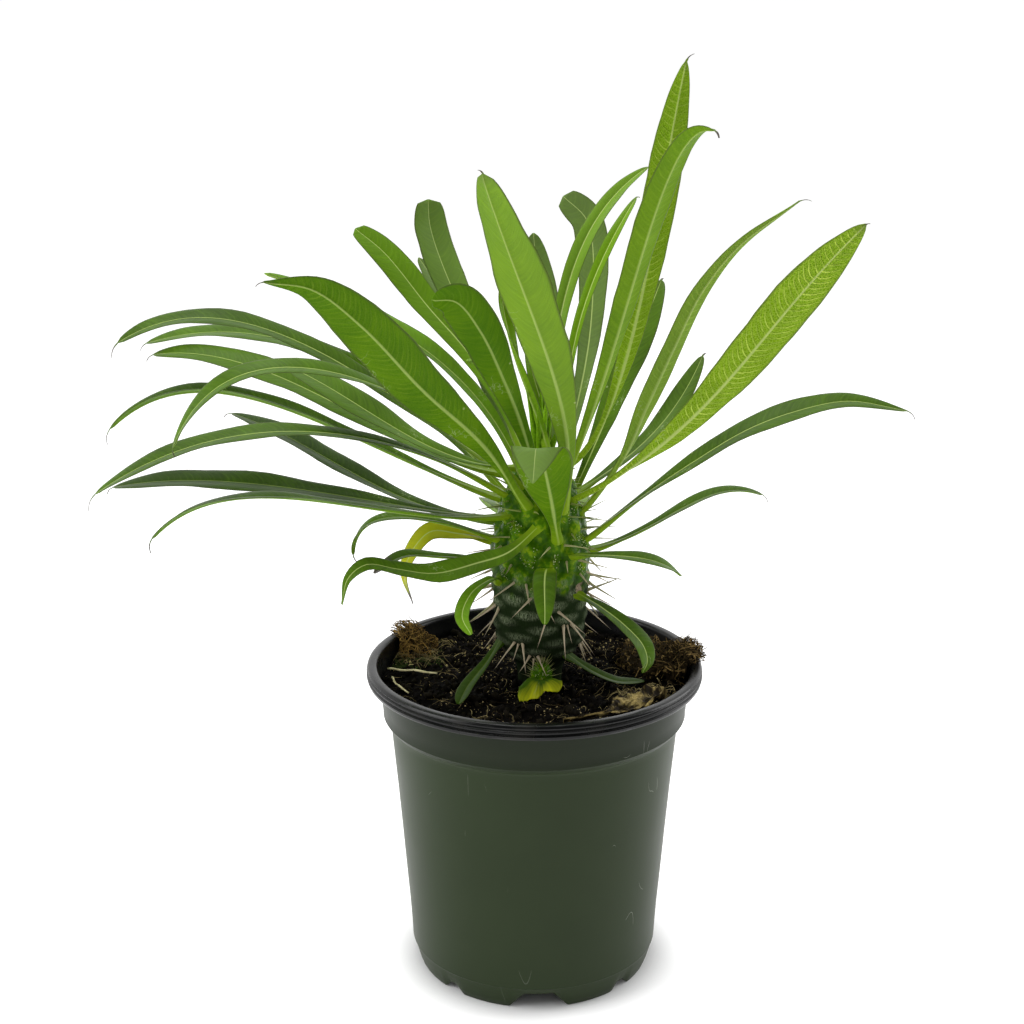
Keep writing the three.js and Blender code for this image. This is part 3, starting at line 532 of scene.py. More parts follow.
def add(tree, kind, sockets=None, **settings):
    """Adds one node with its settings, values and links, and gives back its outputs."""
    made = tree.nodes.new("ShaderNode" + kind)
    for setting, value in settings.items():
        setattr(made, setting, value)
    feed(tree, made, sockets or {})
    return made.outputs


def new_finish(name, sockets):
    """A material with a shader whose constant sockets are set here."""
    finish = bpy.data.materials.new(name)
    finish.use_nodes = True
    shader = finish.node_tree.nodes["Principled BSDF"]
    feed(finish.node_tree, shader, sockets)
    return finish, finish.node_tree, shader


def tint(shade):
    """A hex colour, or three linear values, as the four values of a colour socket."""
    return (*(linear(shade) if isinstance(shade, str) else shade), 1)


def peat_lift(x, y):
    """How high the peat stands above its mean level, flat where it meets the pot."""
    inner = 1 - ease(math.hypot(x, y), 55, 68)
    waves = math.sin(x * 0.16 + 1) * math.cos(y * 0.19) + 0.6 * math.sin(x * 0.33 + y * 0.27)
    return SOIL_RELIEF * inner * waves


def peat_top(x, y):
    """The height of the crumbly surface of the peat."""
    crumb = 1.3 * rough(x, y, 3, 9) + 0.9 * rough(x, y, 9, 3.4) + 0.4 * rough(x, y, 5, 1.5)
    return SOIL_Z + peat_lift(x, y) + crumb


# ---- The stem's knobs -----------------------------------------------------------------------

STEM_LINE = smooth_through([(radius, 0, height) for radius, height in STEM_OUTLINE])


def stem_at(z):
    """The smooth stem's radius and the outward lean of its surface at a height."""
    for lower, upper in zip(STEM_LINE, STEM_LINE[1:]):
        if upper.z >= z:
            share = (z - lower.z) / (upper.z - lower.z)
            lean = math.atan2(lower.x - upper.x, upper.z - lower.z)
            return mix(lower.x, upper.x, share), lean
    return 0, math.pi / 2


def knob(n):
    """(azimuth, facing, place) of knob n, with 0 the youngest."""
    azimuth = math.radians(FIRST_KNOB_ANGLE + GOLDEN_ANGLE * n)
    z = STEM_TOP_Z - 1 - KNOB_SPACING * n**KNOB_PACKING
    radius, lean = stem_at(z)
    outward = heading(azimuth, 0)
    return azimuth, heading(azimuth, lean), Vector((STEM_X, 0, z)) + outward * radius


KNOBS = [knob(n) for n in range(KNOB_COUNT)]


def seat_lift(point):
    """How far out of the smooth stem the leaf of a knob starts."""
    return sum(
        SEAT_HEIGHT * math.exp(-(((point - place).length / SEAT_SIZE) ** 2))
        for _, _, place in KNOBS
    )


def knob_lift(point, height):
    """How far the knobs lift the skin at a point: long rounded humps that run down from their
    leaf when young, broad low folds when old."""
    lift = 0
    for n, (_, _, place) in enumerate(KNOBS):
        drop = point.z - place.z
        if abs(drop) > 13:
            continue
        aside = (point - place).length_squared - drop * drop
        old = ease(n, 46, 74)
        wide = mix(4.4, 7.6, old)
        tall = mix(3.4, 2.1, old) if drop > 0 else mix(9.0, 3.2, old)
        far = aside / wide**2 + (drop / tall) ** 2
        lift = max(lift, math.exp(-far))
    return lift * height


# ---- Sizes and colours that a user may change -----------------------------------------------


class PalmPotSettings(PropertyGroup):
    """The nursery pot."""

    rim_radius: FloatProperty(
        name="Rim radius", description="From the pot's axis to the outside of its lip",
        default=RIM_RADIUS, unit="LENGTH",
    )
    height: FloatProperty(
        name="Height", description="From the floor to the top of the lip",
        default=POT_HEIGHT, unit="LENGTH",
    )
    ridge_depth: FloatProperty(
        name="Ridge depth", description="How far the two fine ridges stand out of the lip",
        default=0.0006, unit="LENGTH",
    )
    notch_count: IntProperty(
        name="Notches", description="Drainage notches round the foot", default=8, min=3,
    )
    notch_height: FloatProperty(
        name="Notch height", description="Height of a wide notch", default=0.007,
        unit="LENGTH",
    )
    hole_radius: FloatProperty(
        name="Drain hole radius", description="Radius of the holes in the floor",
        default=0.005, unit="LENGTH",
    )
    green: colour("Green", "The outside of the pot", "#212d14")
    black: colour("Black", "The lip and the inside", "#0a0b0b")


class PalmPeatSettings(PropertyGroup):
    """The peat and what lies on it."""

    crumb_count: IntProperty(
        name="Crumbs", description="Loose crumbs on the peat", default=6500, min=1,
    )
    crumb_size: FloatProperty(
        name="Crumb size", description="Mean radius of a crumb", default=0.00085, unit="LENGTH",
    )
    fibre_count: IntProperty(
        name="Fibres", description="Loose fibres on the peat", default=260, min=1,
    )
    fibre_radius: FloatProperty(
        name="Fibre radius", description="Mean radius of a fibre", default=0.00012,
        unit="LENGTH",
    )
    dark: colour("Peat", "Damp peat", "#070504")
    brown: colour("Dry peat", "Crumbs that have dried", "#0f0b07")
    straw: colour("Straw", "Bleached fibres and straws", "#cdbb85")
    gold: colour("Roots", "Matted root fibres", "#b08d4e")
    moss: colour("Moss", "Moss on the peat", "#33431a")


class PalmStemSettings(PropertyGroup):
    """The stem and its spines."""

    knob_height: FloatProperty(
        name="Knob height", description="How far a knob stands out", default=0.0024,
        unit="LENGTH",
    )
    spine_length: FloatProperty(
        name="Spine length", description="Length of a grown spine", default=0.017, unit="LENGTH",
    )
    young_spine_length: FloatProperty(
        name="Young spine length", description="Length of the uppermost spines", default=0.009,
        unit="LENGTH",
    )
    spine_radius: FloatProperty(
        name="Spine radius", description="Radius of a spine at its root", default=0.00052,
        unit="LENGTH",
    )
    young: colour("Young skin", "Skin near the crown", "#1f4302")
    knob: colour("Knobs", "The tops of the young knobs", "#55820c")
    old: colour("Old skin", "Skin near the peat", "#1a2a0e")
    felt: colour("Felt", "The grey down on the old skin", "#8a9676")
    spine: colour("Spines", "Grown spines", "#b0a084")
    young_spine: colour("Young spines", "Spines near the crown", "#7c8a40")


class PalmLeafSettings(PropertyGroup):
    """The leaves."""

    rows: IntProperty(name="Rows", description="Rows of faces along a leaf", default=46, min=12)
    blade_thickness: FloatProperty(
        name="Blade thickness", description="Thickness beside the midrib", default=0.0006,
        unit="LENGTH",
    )
    rib_height: FloatProperty(
        name="Rib height", description="How far the midrib stands out of the underside",
        default=0.0009, unit="LENGTH",
    )
    vein_spacing: FloatProperty(
        name="Vein spacing", description="From one side vein to the next", default=0.0032,
        unit="LENGTH",
    )
    upper: colour("Upper side", "The darkest upper sides", "#2f4511")
    upper_bright: colour("Bright upper side", "The brightest upper sides", "#69931a")
    under: colour("Underside", "The darkest undersides", "#426a02")
    under_bright: colour("Bright underside", "The brightest undersides", "#82a80c")
    rib: colour("Midrib", "Midrib and veins", "#b4c672")
    young: colour("Young leaf", "Leaves that have just unrolled", "#6b9414")
    yellowed: colour("Yellowed leaf", "A leaf that is about to drop", "#b3b81f")
    dead: colour("Dried tip", "Dried drip tips and spots", "#57504a")


class PalmStageSettings(PropertyGroup):
    """Floor, light and camera."""

    floor: colour("Floor", "The plain floor", "#dedede")
    floor_glow: FloatProperty(
        name="Floor glow", description="Light through the floor's paper from below", default=0.66,
    )
    wall: FloatProperty(
        name="Wall", description="Brightness of the wall that gloss mirrors", default=1.42, min=0,
    )
    room: FloatProperty(
        name="Room", description="Brightness of the room that gloss mirrors", default=0.1, min=0,
    )
    surround: FloatProperty(
        name="Surround", description="Strength of the white light from all round", default=0.48,
    )
    softbox: FloatProperty(
        name="Softbox", description="Power of the large softbox, in watts", default=13.0,
    )
    lens: FloatProperty(
        name="Lens", description="Focal length for a 36 mm sensor", default=63.28, unit="CAMERA",
    )


# ---- Finishes -------------------------------------------------------------------------------


def pot_green_finish(settings):
    """Thermoformed polypropylene, the green outer layer: satin, with a faint mottle from the
    cooling sheet, a few dust specks and hairline scratches from handling."""
    finish, tree, shader = new_finish(
        "polypropylene_green_thermoformed", {"IOR": 1.49, "Specular IOR Level": 0.17}
    )
    place = add(tree, "TexCoord")["Object"]
    # The sheet cooled in soft patches about 30 mm across.
    patch = add(tree, "TexNoise", {"Vector": place, "Scale": 33, "Detail": 2})[0]
    grain = add(tree, "TexNoise", {"Vector": place, "Scale": 1400, "Detail": 2})[0]
    green = tint(settings.green)
    shade = add(
        tree, "Mix", {0: patch, 6: green, 7: tint(c * 1.22 + 0.002 for c in settings.green)},
        data_type="RGBA",
    )[2]
    # Painted shade under the lip: the green is darkened over the collar from 122.5 mm up.
    height = add(tree, "SeparateXYZ", {0: place})[2]
    thick = add(tree, "MapRange", {0: height, 1: 0.1225, 2: 0.1275, 3: 0, 4: 0.62})[0]
    shade = add(tree, "Mix", {0: thick, 6: shade, 7: tint("#0b1106")}, data_type="RGBA")[2]
    # Dust specks 0.4 mm across, on average one in each 14 mm cell.
    cell = add(tree, "TexVoronoi", {"Vector": place, "Scale": 70, "Randomness": 1})
    speck = add(tree, "MapRange", {0: cell["Distance"], 1: 0.012, 2: 0.022, 3: 1, 4: 0})[0]
    rare = add(tree, "Math", {0: cell["Color"], 1: 0.6}, operation="GREATER_THAN")[0]
    dust = add(tree, "Math", {0: speck, 1: rare}, operation="MULTIPLY")[0]
    # Scratches are the thin lines where a stretched noise crosses its middle value.
    bent = add(tree, "Mapping", {0: place, 2: (0.4, 0.2, 0.9), 3: (45, 30, 12)})[0]
    wave = add(tree, "TexNoise", {"Vector": bent, "Scale": 1.6, "Detail": 1})[0]
    off = add(tree, "Math", {0: wave, 1: 0.5}, operation="SUBTRACT")[0]
    near = add(tree, "Math", {0: off}, operation="ABSOLUTE")[0]
    line = add(tree, "MapRange", {0: near, 1: 0.0005, 2: 0.0015, 3: 1, 4: 0})[0]
    where = add(tree, "TexNoise", {"Vector": place, "Scale": 55, "Detail": 1})[0]
    some = add(tree, "MapRange", {0: where, 1: 0.66, 2: 0.7})[0]
    scratch = add(tree, "Math", {0: line, 1: some}, operation="MULTIPLY")[0]
    marks = add(tree, "Math", {0: dust, 1: scratch}, operation="MAXIMUM")[0]
    faint = add(tree, "Math", {0: marks, 1: 0.4}, operation="MULTIPLY")[0]
    worn = add(tree, "Mix", {0: faint, 6: shade, 7: tint("#b9bcae")}, data_type="RGBA")[2]
    satin = add(tree, "MapRange", {0: patch, 3: 0.36, 4: 0.46})[0]
    bump = add(tree, "Bump", {"Height": grain, "Strength": 0.12, "Distance": 0.0001})[0]
    feed(tree, shader, {"Base Color": worn, "Roughness": satin, "Normal": bump})
    return finish


def pot_black_finish(settings):
    """Thermoformed polypropylene, the black inner layer that shows on the lip: glossier than the
    outside, scuffed grey along its edges by stacking, with a film of dry peat dust."""
    finish, tree, shader = new_finish(
        "polypropylene_black_thermoformed", {"IOR": 1.49, "Specular IOR Level": 0.24}
    )
    place = add(tree, "TexCoord")["Object"]
    # Scuffs run round the lip, so the pattern is stretched level: 25 mm long, 1 mm high.
    ring = add(tree, "Mapping", {0: place, 3: (45, 45, 900)})[0]
    scuff = add(tree, "TexNoise", {"Vector": ring, "Scale": 1, "Detail": 5, "Roughness": 0.7})[0]
    edge = add(tree, "NewGeometry")["Pointiness"]
    sharp = add(tree, "MapRange", {0: edge, 1: 0.52, 2: 0.6})[0]
    worn = add(tree, "MapRange", {0: scuff, 1: 0.56, 2: 0.7, 3: 0, 4: 0.8})[0]
    both = add(tree, "Math", {0: sharp, 1: worn}, operation="MULTIPLY")[0]
    film = add(tree, "TexNoise", {"Vector": place, "Scale": 60, "Detail": 6})[0]
    dusty = add(tree, "MapRange", {0: film, 1: 0.5, 2: 0.75, 3: 0, 4: 0.3})[0]
    shade = add(
        tree, "Mix", {0: dusty, 6: tint(settings.black), 7: tint("#3a3833")}, data_type="RGBA",
    )[2]
    marked = add(tree, "Mix", {0: both, 6: shade, 7: tint("#8f9090")}, data_type="RGBA")[2]
    gloss = add(tree, "MapRange", {0: film, 1: 0.3, 2: 0.7, 3: 0.16, 4: 0.34})[0]
    bump = add(tree, "Bump", {"Height": film, "Strength": 0.15, "Distance": 0.0002})[0]
    feed(tree, shader, {"Base Color": marked, "Roughness": gloss, "Normal": bump})
    return finish


def litter_finish(name, dark, pale, roughness=0.85):
    """Crumbs, fibres, roots, straws, and withered or rolled leaves: each bit has its own shade
    from `tone` and a fine fibrous grain, which leaves it dull unless `roughness` is low."""
    finish, tree, shader = new_finish(
        name, {"Roughness": roughness, "IOR": 1.4, "Specular IOR Level": 0.1}
    )
    place = add(tree, "TexCoord")["Object"]
    tone = add(tree, "Attribute", attribute_name="tone")["Fac"]
    # Grain about 0.7 mm across.
    grain = add(tree, "TexNoise", {"Vector": place, "Scale": 1500, "Detail": 3})[0]
    vary = add(tree, "MapRange", {0: grain, 1: 0.3, 2: 0.7, 3: 0.6, 4: 1.4})[0]
    share = add(tree, "Math", {0: tone, 1: vary}, operation="MULTIPLY", use_clamp=True)[0]
    shade = add(tree, "Mix", {0: share, 6: dark, 7: pale}, data_type="RGBA")[2]
    bump = add(tree, "Bump", {"Height": grain, "Strength": 0.6, "Distance": 0.0003})[0]
    feed(tree, shader, {"Base Color": shade, "Normal": bump})
    return finish


def peat_finish(settings):
    """Milled sphagnum peat, pressed into the pot and damp: almost black, with brown lumps and
    tiny pale bits."""
    finish, tree, shader = new_finish(
        "sphagnum_peat_damp", {"Roughness": 0.9, "IOR": 1.4, "Specular IOR Level": 0.08}
    )
    place = add(tree, "TexCoord")["Object"]
    # Lumps 4 mm across, and crumbs of 1 mm.
    lump = add(tree, "TexNoise", {"Vector": place, "Scale": 250, "Detail": 6, "Roughness": 0.7})[0]
    brown = add(tree, "MapRange", {0: lump, 1: 0.56, 2: 0.8})[0]
    shade = add(
        tree, "Mix", {0: brown, 6: tint(settings.dark), 7: tint(settings.brown)}, data_type="RGBA",
    )[2]
    bit = add(tree, "TexVoronoi", {"Vector": place, "Scale": 900})
    near = add(tree, "Math", {0: bit["Distance"], 1: 0.22}, operation="LESS_THAN")[0]
    pick = add(tree, "Math", {0: bit["Color"], 1: 0.96}, operation="GREATER_THAN")[0]
    pale = add(tree, "Math", {0: near, 1: pick}, operation="MULTIPLY")[0]
    dotted = add(tree, "Mix", {0: pale, 6: shade, 7: tint("#a08a5a")}, data_type="RGBA")[2]
    bump = add(tree, "Bump", {"Height": lump, "Strength": 1, "Distance": 0.0015})[0]
    feed(tree, shader, {"Base Color": dotted, "Normal": bump})
    return finish


def stem_finish(settings):
    """Succulent skin: wet-looking and bright green on the young knobs, whose tops are painted
    paler, partly their own colour and partly painted highlight, with painted shade in the hollows
    and pale pustules whose sparkle is painted on as pale spots, turning dark under a combed grey
    down on the old folds, and one corky scar."""
    finish, tree, shader = new_finish("succulent_skin", {"IOR": 1.45, "Specular IOR Level": 0.05})
    place = add(tree, "TexCoord")["Object"]
    age = add(tree, "Attribute", attribute_name="age")["Fac"]
    lift = add(tree, "Attribute", attribute_name="lift")["Fac"]
    broad = add(tree, "TexNoise", {"Vector": place, "Scale": 160, "Detail": 3})[0]
    shift = add(tree, "MapRange", {0: broad, 1: 0.3, 2: 0.7, 3: -0.12, 4: 0.12})[0]
    aged = add(tree, "Math", {0: age, 1: shift}, operation="ADD", use_clamp=True)[0]
    # Knob tops are mixed towards the paler knob green and the hollows keep the dark young green:
    # partly the skin's own colour, partly painted highlight on the tops and painted shade in the
    # hollows.
    high = add(tree, "Math", {0: lift, 1: shift}, operation="ADD")[0]
    crest = add(tree, "MapRange", {0: high, 1: 0.1, 2: 1.25})[0]
    fresh = add(
        tree, "Mix", {0: crest, 6: tint(settings.young), 7: tint(settings.knob)}, data_type="RGBA",
    )[2]
    # Yellower flakes 3 mm across on the crests: partly the skin's own sallow patches, partly
    # painted highlight on the knob tops.
    flake = add(
        tree, "TexNoise", {"Vector": place, "Scale": 330, "Detail": 4, "Roughness": 0.6},
    )[0]
    sallow = add(tree, "MapRange", {0: flake, 1: 0.5, 2: 0.62, 3: 0, 4: 0.75})[0]
    sallow_flake_and_highlight = add(tree, "Math", {0: sallow, 1: crest}, operation="MULTIPLY")[0]
    fresh = add(tree, "Mix", {0: sallow_flake_and_highlight, 6: fresh, 7: tint("#93a81a")}, data_type="RGBA")[2]
    shady = add(tree, "MapRange", {0: flake, 1: 0.35, 2: 0.5, 3: 0.4, 4: 0})[0]
    fresh = add(tree, "Mix", {0: shady, 6: fresh, 7: tint("#0f2802")}, data_type="RGBA")[2]
    # Down hangs in combed streaks 0.35 mm wide and 3 mm long.
    combed = add(tree, "Mapping", {0: place, 3: (2800, 2800, 330)})[0]
    hair = add(tree, "TexNoise", {"Vector": combed, "Scale": 1, "Detail": 3, "Roughness": 0.7})[0]
    strand = add(tree, "MapRange", {0: hair, 1: 0.4, 2: 0.62})[0]
    ridge = add(tree, "MapRange", {0: lift, 1: 0.3, 2: 0.85, 3: 0.04, 4: 1})[0]
    down = add(tree, "Math", {0: strand, 1: ridge}, operation="MULTIPLY")[0]
    felted = add(
        tree, "Mix", {0: down, 6: tint(settings.old), 7: tint(settings.felt)}, data_type="RGBA",
    )[2]
    # The old skin is darkened further towards the foot of the stem.
    worn = add(tree, "MapRange", {0: aged, 1: 0.72, 2: 1, 3: 0, 4: 0.6})[0]
    felted = add(tree, "Mix", {0: worn, 6: felted, 7: tint("#10160b")}, data_type="RGBA")[2]
    skin = add(tree, "MapRange", {0: aged, 1: 0.5, 2: 0.68}, interpolation_type="SMOOTHSTEP")[0]
    green = add(tree, "Mix", {0: skin, 6: fresh, 7: felted}, data_type="RGBA")[2]
    # Pustules 0.8 mm across stand on the young skin; their sparkle is painted on as pale spots, a
    # painted highlight.
    wart = add(tree, "TexVoronoi", {"Vector": place, "Scale": 950})["Distance"]
    top = add(tree, "MapRange", {0: wart, 1: 0.15, 2: 0.5, 3: 1, 4: 0})[0]
    patch = add(tree, "TexNoise", {"Vector": place, "Scale": 130, "Detail": 1})[0]
    rash = add(tree, "MapRange", {0: patch, 1: 0.54, 2: 0.64})[0]
    bumpy = add(tree, "Math", {0: top, 1: rash}, operation="MULTIPLY")[0]
    spot = add(tree, "MapRange", {0: bumpy, 1: 0.5, 2: 0.9, 3: 0, 4: 0.7})[0]
    bare = add(tree, "Math", {0: 1, 1: skin}, operation="SUBTRACT")[0]
    painted_glint = add(tree, "Math", {0: spot, 1: bare}, operation="MULTIPLY")[0]
    dotted = add(tree, "Mix", {0: painted_glint, 6: green, 7: tint("#d9e6a8")}, data_type="RGBA")[2]
    scar = add(tree, "Attribute", attribute_name="scar")["Fac"]
    torn = add(tree, "Math", {0: scar, 1: shift}, operation="ADD")[0]
    cork = add(tree, "MapRange", {0: torn, 1: 0.4, 2: 0.5})[0]
    bark = add(
        tree, "Mix", {0: strand, 6: tint("#55473a"), 7: tint("#b3a189")}, data_type="RGBA",
    )[2]
    whole = add(tree, "Mix", {0: cork, 6: dotted, 7: bark}, data_type="RGBA")[2]
    dull = add(tree, "Math", {0: skin, 1: cork}, operation="MAXIMUM")[0]
    gloss = add(tree, "MapRange", {0: dull, 3: 0.2, 4: 0.9})[0]
    relief = add(tree, "Mix", {0: dull, 2: bumpy, 3: hair})[0]
    bump = add(tree, "Bump", {"Height": relief, "Strength": 0.9, "Distance": 0.0006})[0]
    feed(tree, shader, {"Base Color": whole, "Roughness": gloss, "Normal": bump})
    return finish


def spine_finish(settings):
    """Spines are dry woody points: olive near the crown, grey-brown below, darker at the tip,
    with fine grain along them."""
    finish, tree, shader = new_finish("woody_spine", {"Roughness": 0.5, "IOR": 1.5})
    place = add(tree, "TexCoord")["Object"]
    age = add(tree, "Attribute", attribute_name="tone")["Fac"]
    share = add(tree, "Attribute", attribute_name="share")["Fac"]
    grain = add(tree, "TexNoise", {"Vector": place, "Scale": 900, "Detail": 3})[0]
    pale = add(tree, "MapRange", {0: grain, 1: 0.35, 2: 0.7, 3: 0, 4: 0.4})[0]
    old = add(
        tree, "Mix", {0: pale, 6: tint(settings.spine), 7: tint("#c4b497")}, data_type="RGBA",
    )[2]
    shade = add(tree, "Mix", {0: age, 6: tint(settings.young_spine), 7: old}, data_type="RGBA")[2]
    end = add(tree, "MapRange", {0: share, 1: 0.72, 2: 1.0, 3: 0, 4: 0.75})[0]
    tipped = add(tree, "Mix", {0: end, 6: shade, 7: tint("#3a2c22")}, data_type="RGBA")[2]
    bump = add(tree, "Bump", {"Height": grain, "Strength": 0.4, "Distance": 0.0002})[0]
    feed(tree, shader, {"Base Color": tipped, "Normal": bump})
    return finish


def side_veins(tree, spot_on, along, side, margin, spacing):
    """Side veins, which leave the midrib almost squarely and bow towards the tip: the veins, the
    painted shade in the furrows beside them, the noise that bends them, and the two directions
    that follow them."""
    off = add(tree, "Math", {0: side}, operation="ABSOLUTE")[0]
    slope = add(tree, "Math", {0: off, 1: 0.09, 2: 0.12}, operation="MULTIPLY_ADD")[0]
    bow = add(tree, "Math", {0: slope, 1: off}, operation="MULTIPLY")[0]
    phase = add(tree, "Math", {0: along, 1: bow}, operation="SUBTRACT")[0]
    right = add(tree, "Math", {0: side, 1: 0}, operation="GREATER_THAN")[0]
    stagger = add(tree, "Math", {0: right, 1: spacing / 2, 2: phase}, operation="MULTIPLY_ADD")[0]
    bend = add(tree, "TexNoise", {"Vector": spot_on, "Scale": 0.12, "Detail": 2})[0]
    wander = add(tree, "Math", {0: bend, 1: 3, 2: stagger}, operation="MULTIPLY_ADD")[0]
    cycle = add(tree, "Math", {0: wander, 1: spacing / 2}, operation="PINGPONG")[0]
    line = add(
        tree, "MapRange", {0: cycle, 1: 0.1, 2: 0.55, 3: 1, 4: 0}, interpolation_type="SMOOTHSTEP",
    )[0]
    shadow = add(
        tree, "MapRange", {0: cycle, 1: 0.5, 2: 1.1, 3: 1, 4: 0}, interpolation_type="SMOOTHSTEP",
    )[0]
    reach = add(tree, "MapRange", {0: margin, 1: 0.6, 2: 0.92, 3: 1, 4: 0.1})[0]
    vein = add(tree, "Math", {0: line, 1: reach}, operation="MULTIPLY")[0]
    furrow_shade = add(tree, "Math", {0: shadow, 1: reach}, operation="MULTIPLY")[0]
    return vein, furrow_shade, bend, phase, off


def leaf_marks(tree, both, spot_on, broad, spotted):
    """Pale or brown flecks, and the pale winding scribbles that insects left."""
    fleck = add(tree, "TexVoronoi", {"Vector": spot_on, "Scale": 0.16})
    size = add(tree, "Math", {0: fleck["Distance"], 1: 0.09}, operation="LESS_THAN")[0]
    rare = add(tree, "Math", {0: fleck["Color"], 1: 0.82}, operation="GREATER_THAN")[0]
    mark = add(tree, "Math", {0: size, 1: rare}, operation="MULTIPLY")[0]
    dim = add(tree, "Math", {0: mark, 1: 0.35 + 0.6 * spotted}, operation="MULTIPLY")[0]
    scar = "#5a4526" if spotted else "#c3c98f"
    both = add(tree, "Mix", {0: dim, 6: both, 7: tint(scar)}, data_type="RGBA")[2]
    path = add(tree, "TexNoise", {"Vector": spot_on, "Scale": 0.11, "Detail": 3})[0]
    away = add(tree, "Math", {0: path, 1: 0.5}, operation="SUBTRACT")[0]
    near = add(tree, "Math", {0: away}, operation="ABSOLUTE")[0]
    thread = add(tree, "MapRange", {0: near, 1: 0.002, 2: 0.008, 3: 1, 4: 0})[0]
    few = add(tree, "MapRange", {0: broad, 1: 0.6, 2: 0.64, 3: 0, 4: 0.3})[0]
    mine = add(tree, "Math", {0: thread, 1: few}, operation="MULTIPLY")[0]
    both = add(tree, "Mix", {0: mine, 6: both, 7: tint("#bcc796")}, data_type="RGBA")[2]
    return both


def dried_tip(tree, both, spot_on, life, dead):
    """The tip dries from its end: first grey-green, then grey-brown."""
    uneven = add(tree, "TexNoise", {"Vector": spot_on, "Scale": 0.5, "Detail": 3})[0]
    left = add(tree, "Math", {0: uneven, 1: 3, 2: life}, operation="MULTIPLY_ADD")[0]
    fade = add(tree, "MapRange", {0: left, 1: 1.5, 2: 9, 3: 0.6, 4: 0})[0]
    both = add(tree, "Mix", {0: fade, 6: both, 7: tint("#4f5e33")}, data_type="RGBA")[2]
    dry = add(tree, "MapRange", {0: left, 1: 1.2, 2: 3.0, 3: 1, 4: 0})[0]
    both = add(tree, "Mix", {0: dry, 6: both, 7: dead}, data_type="RGBA")[2]
    return both


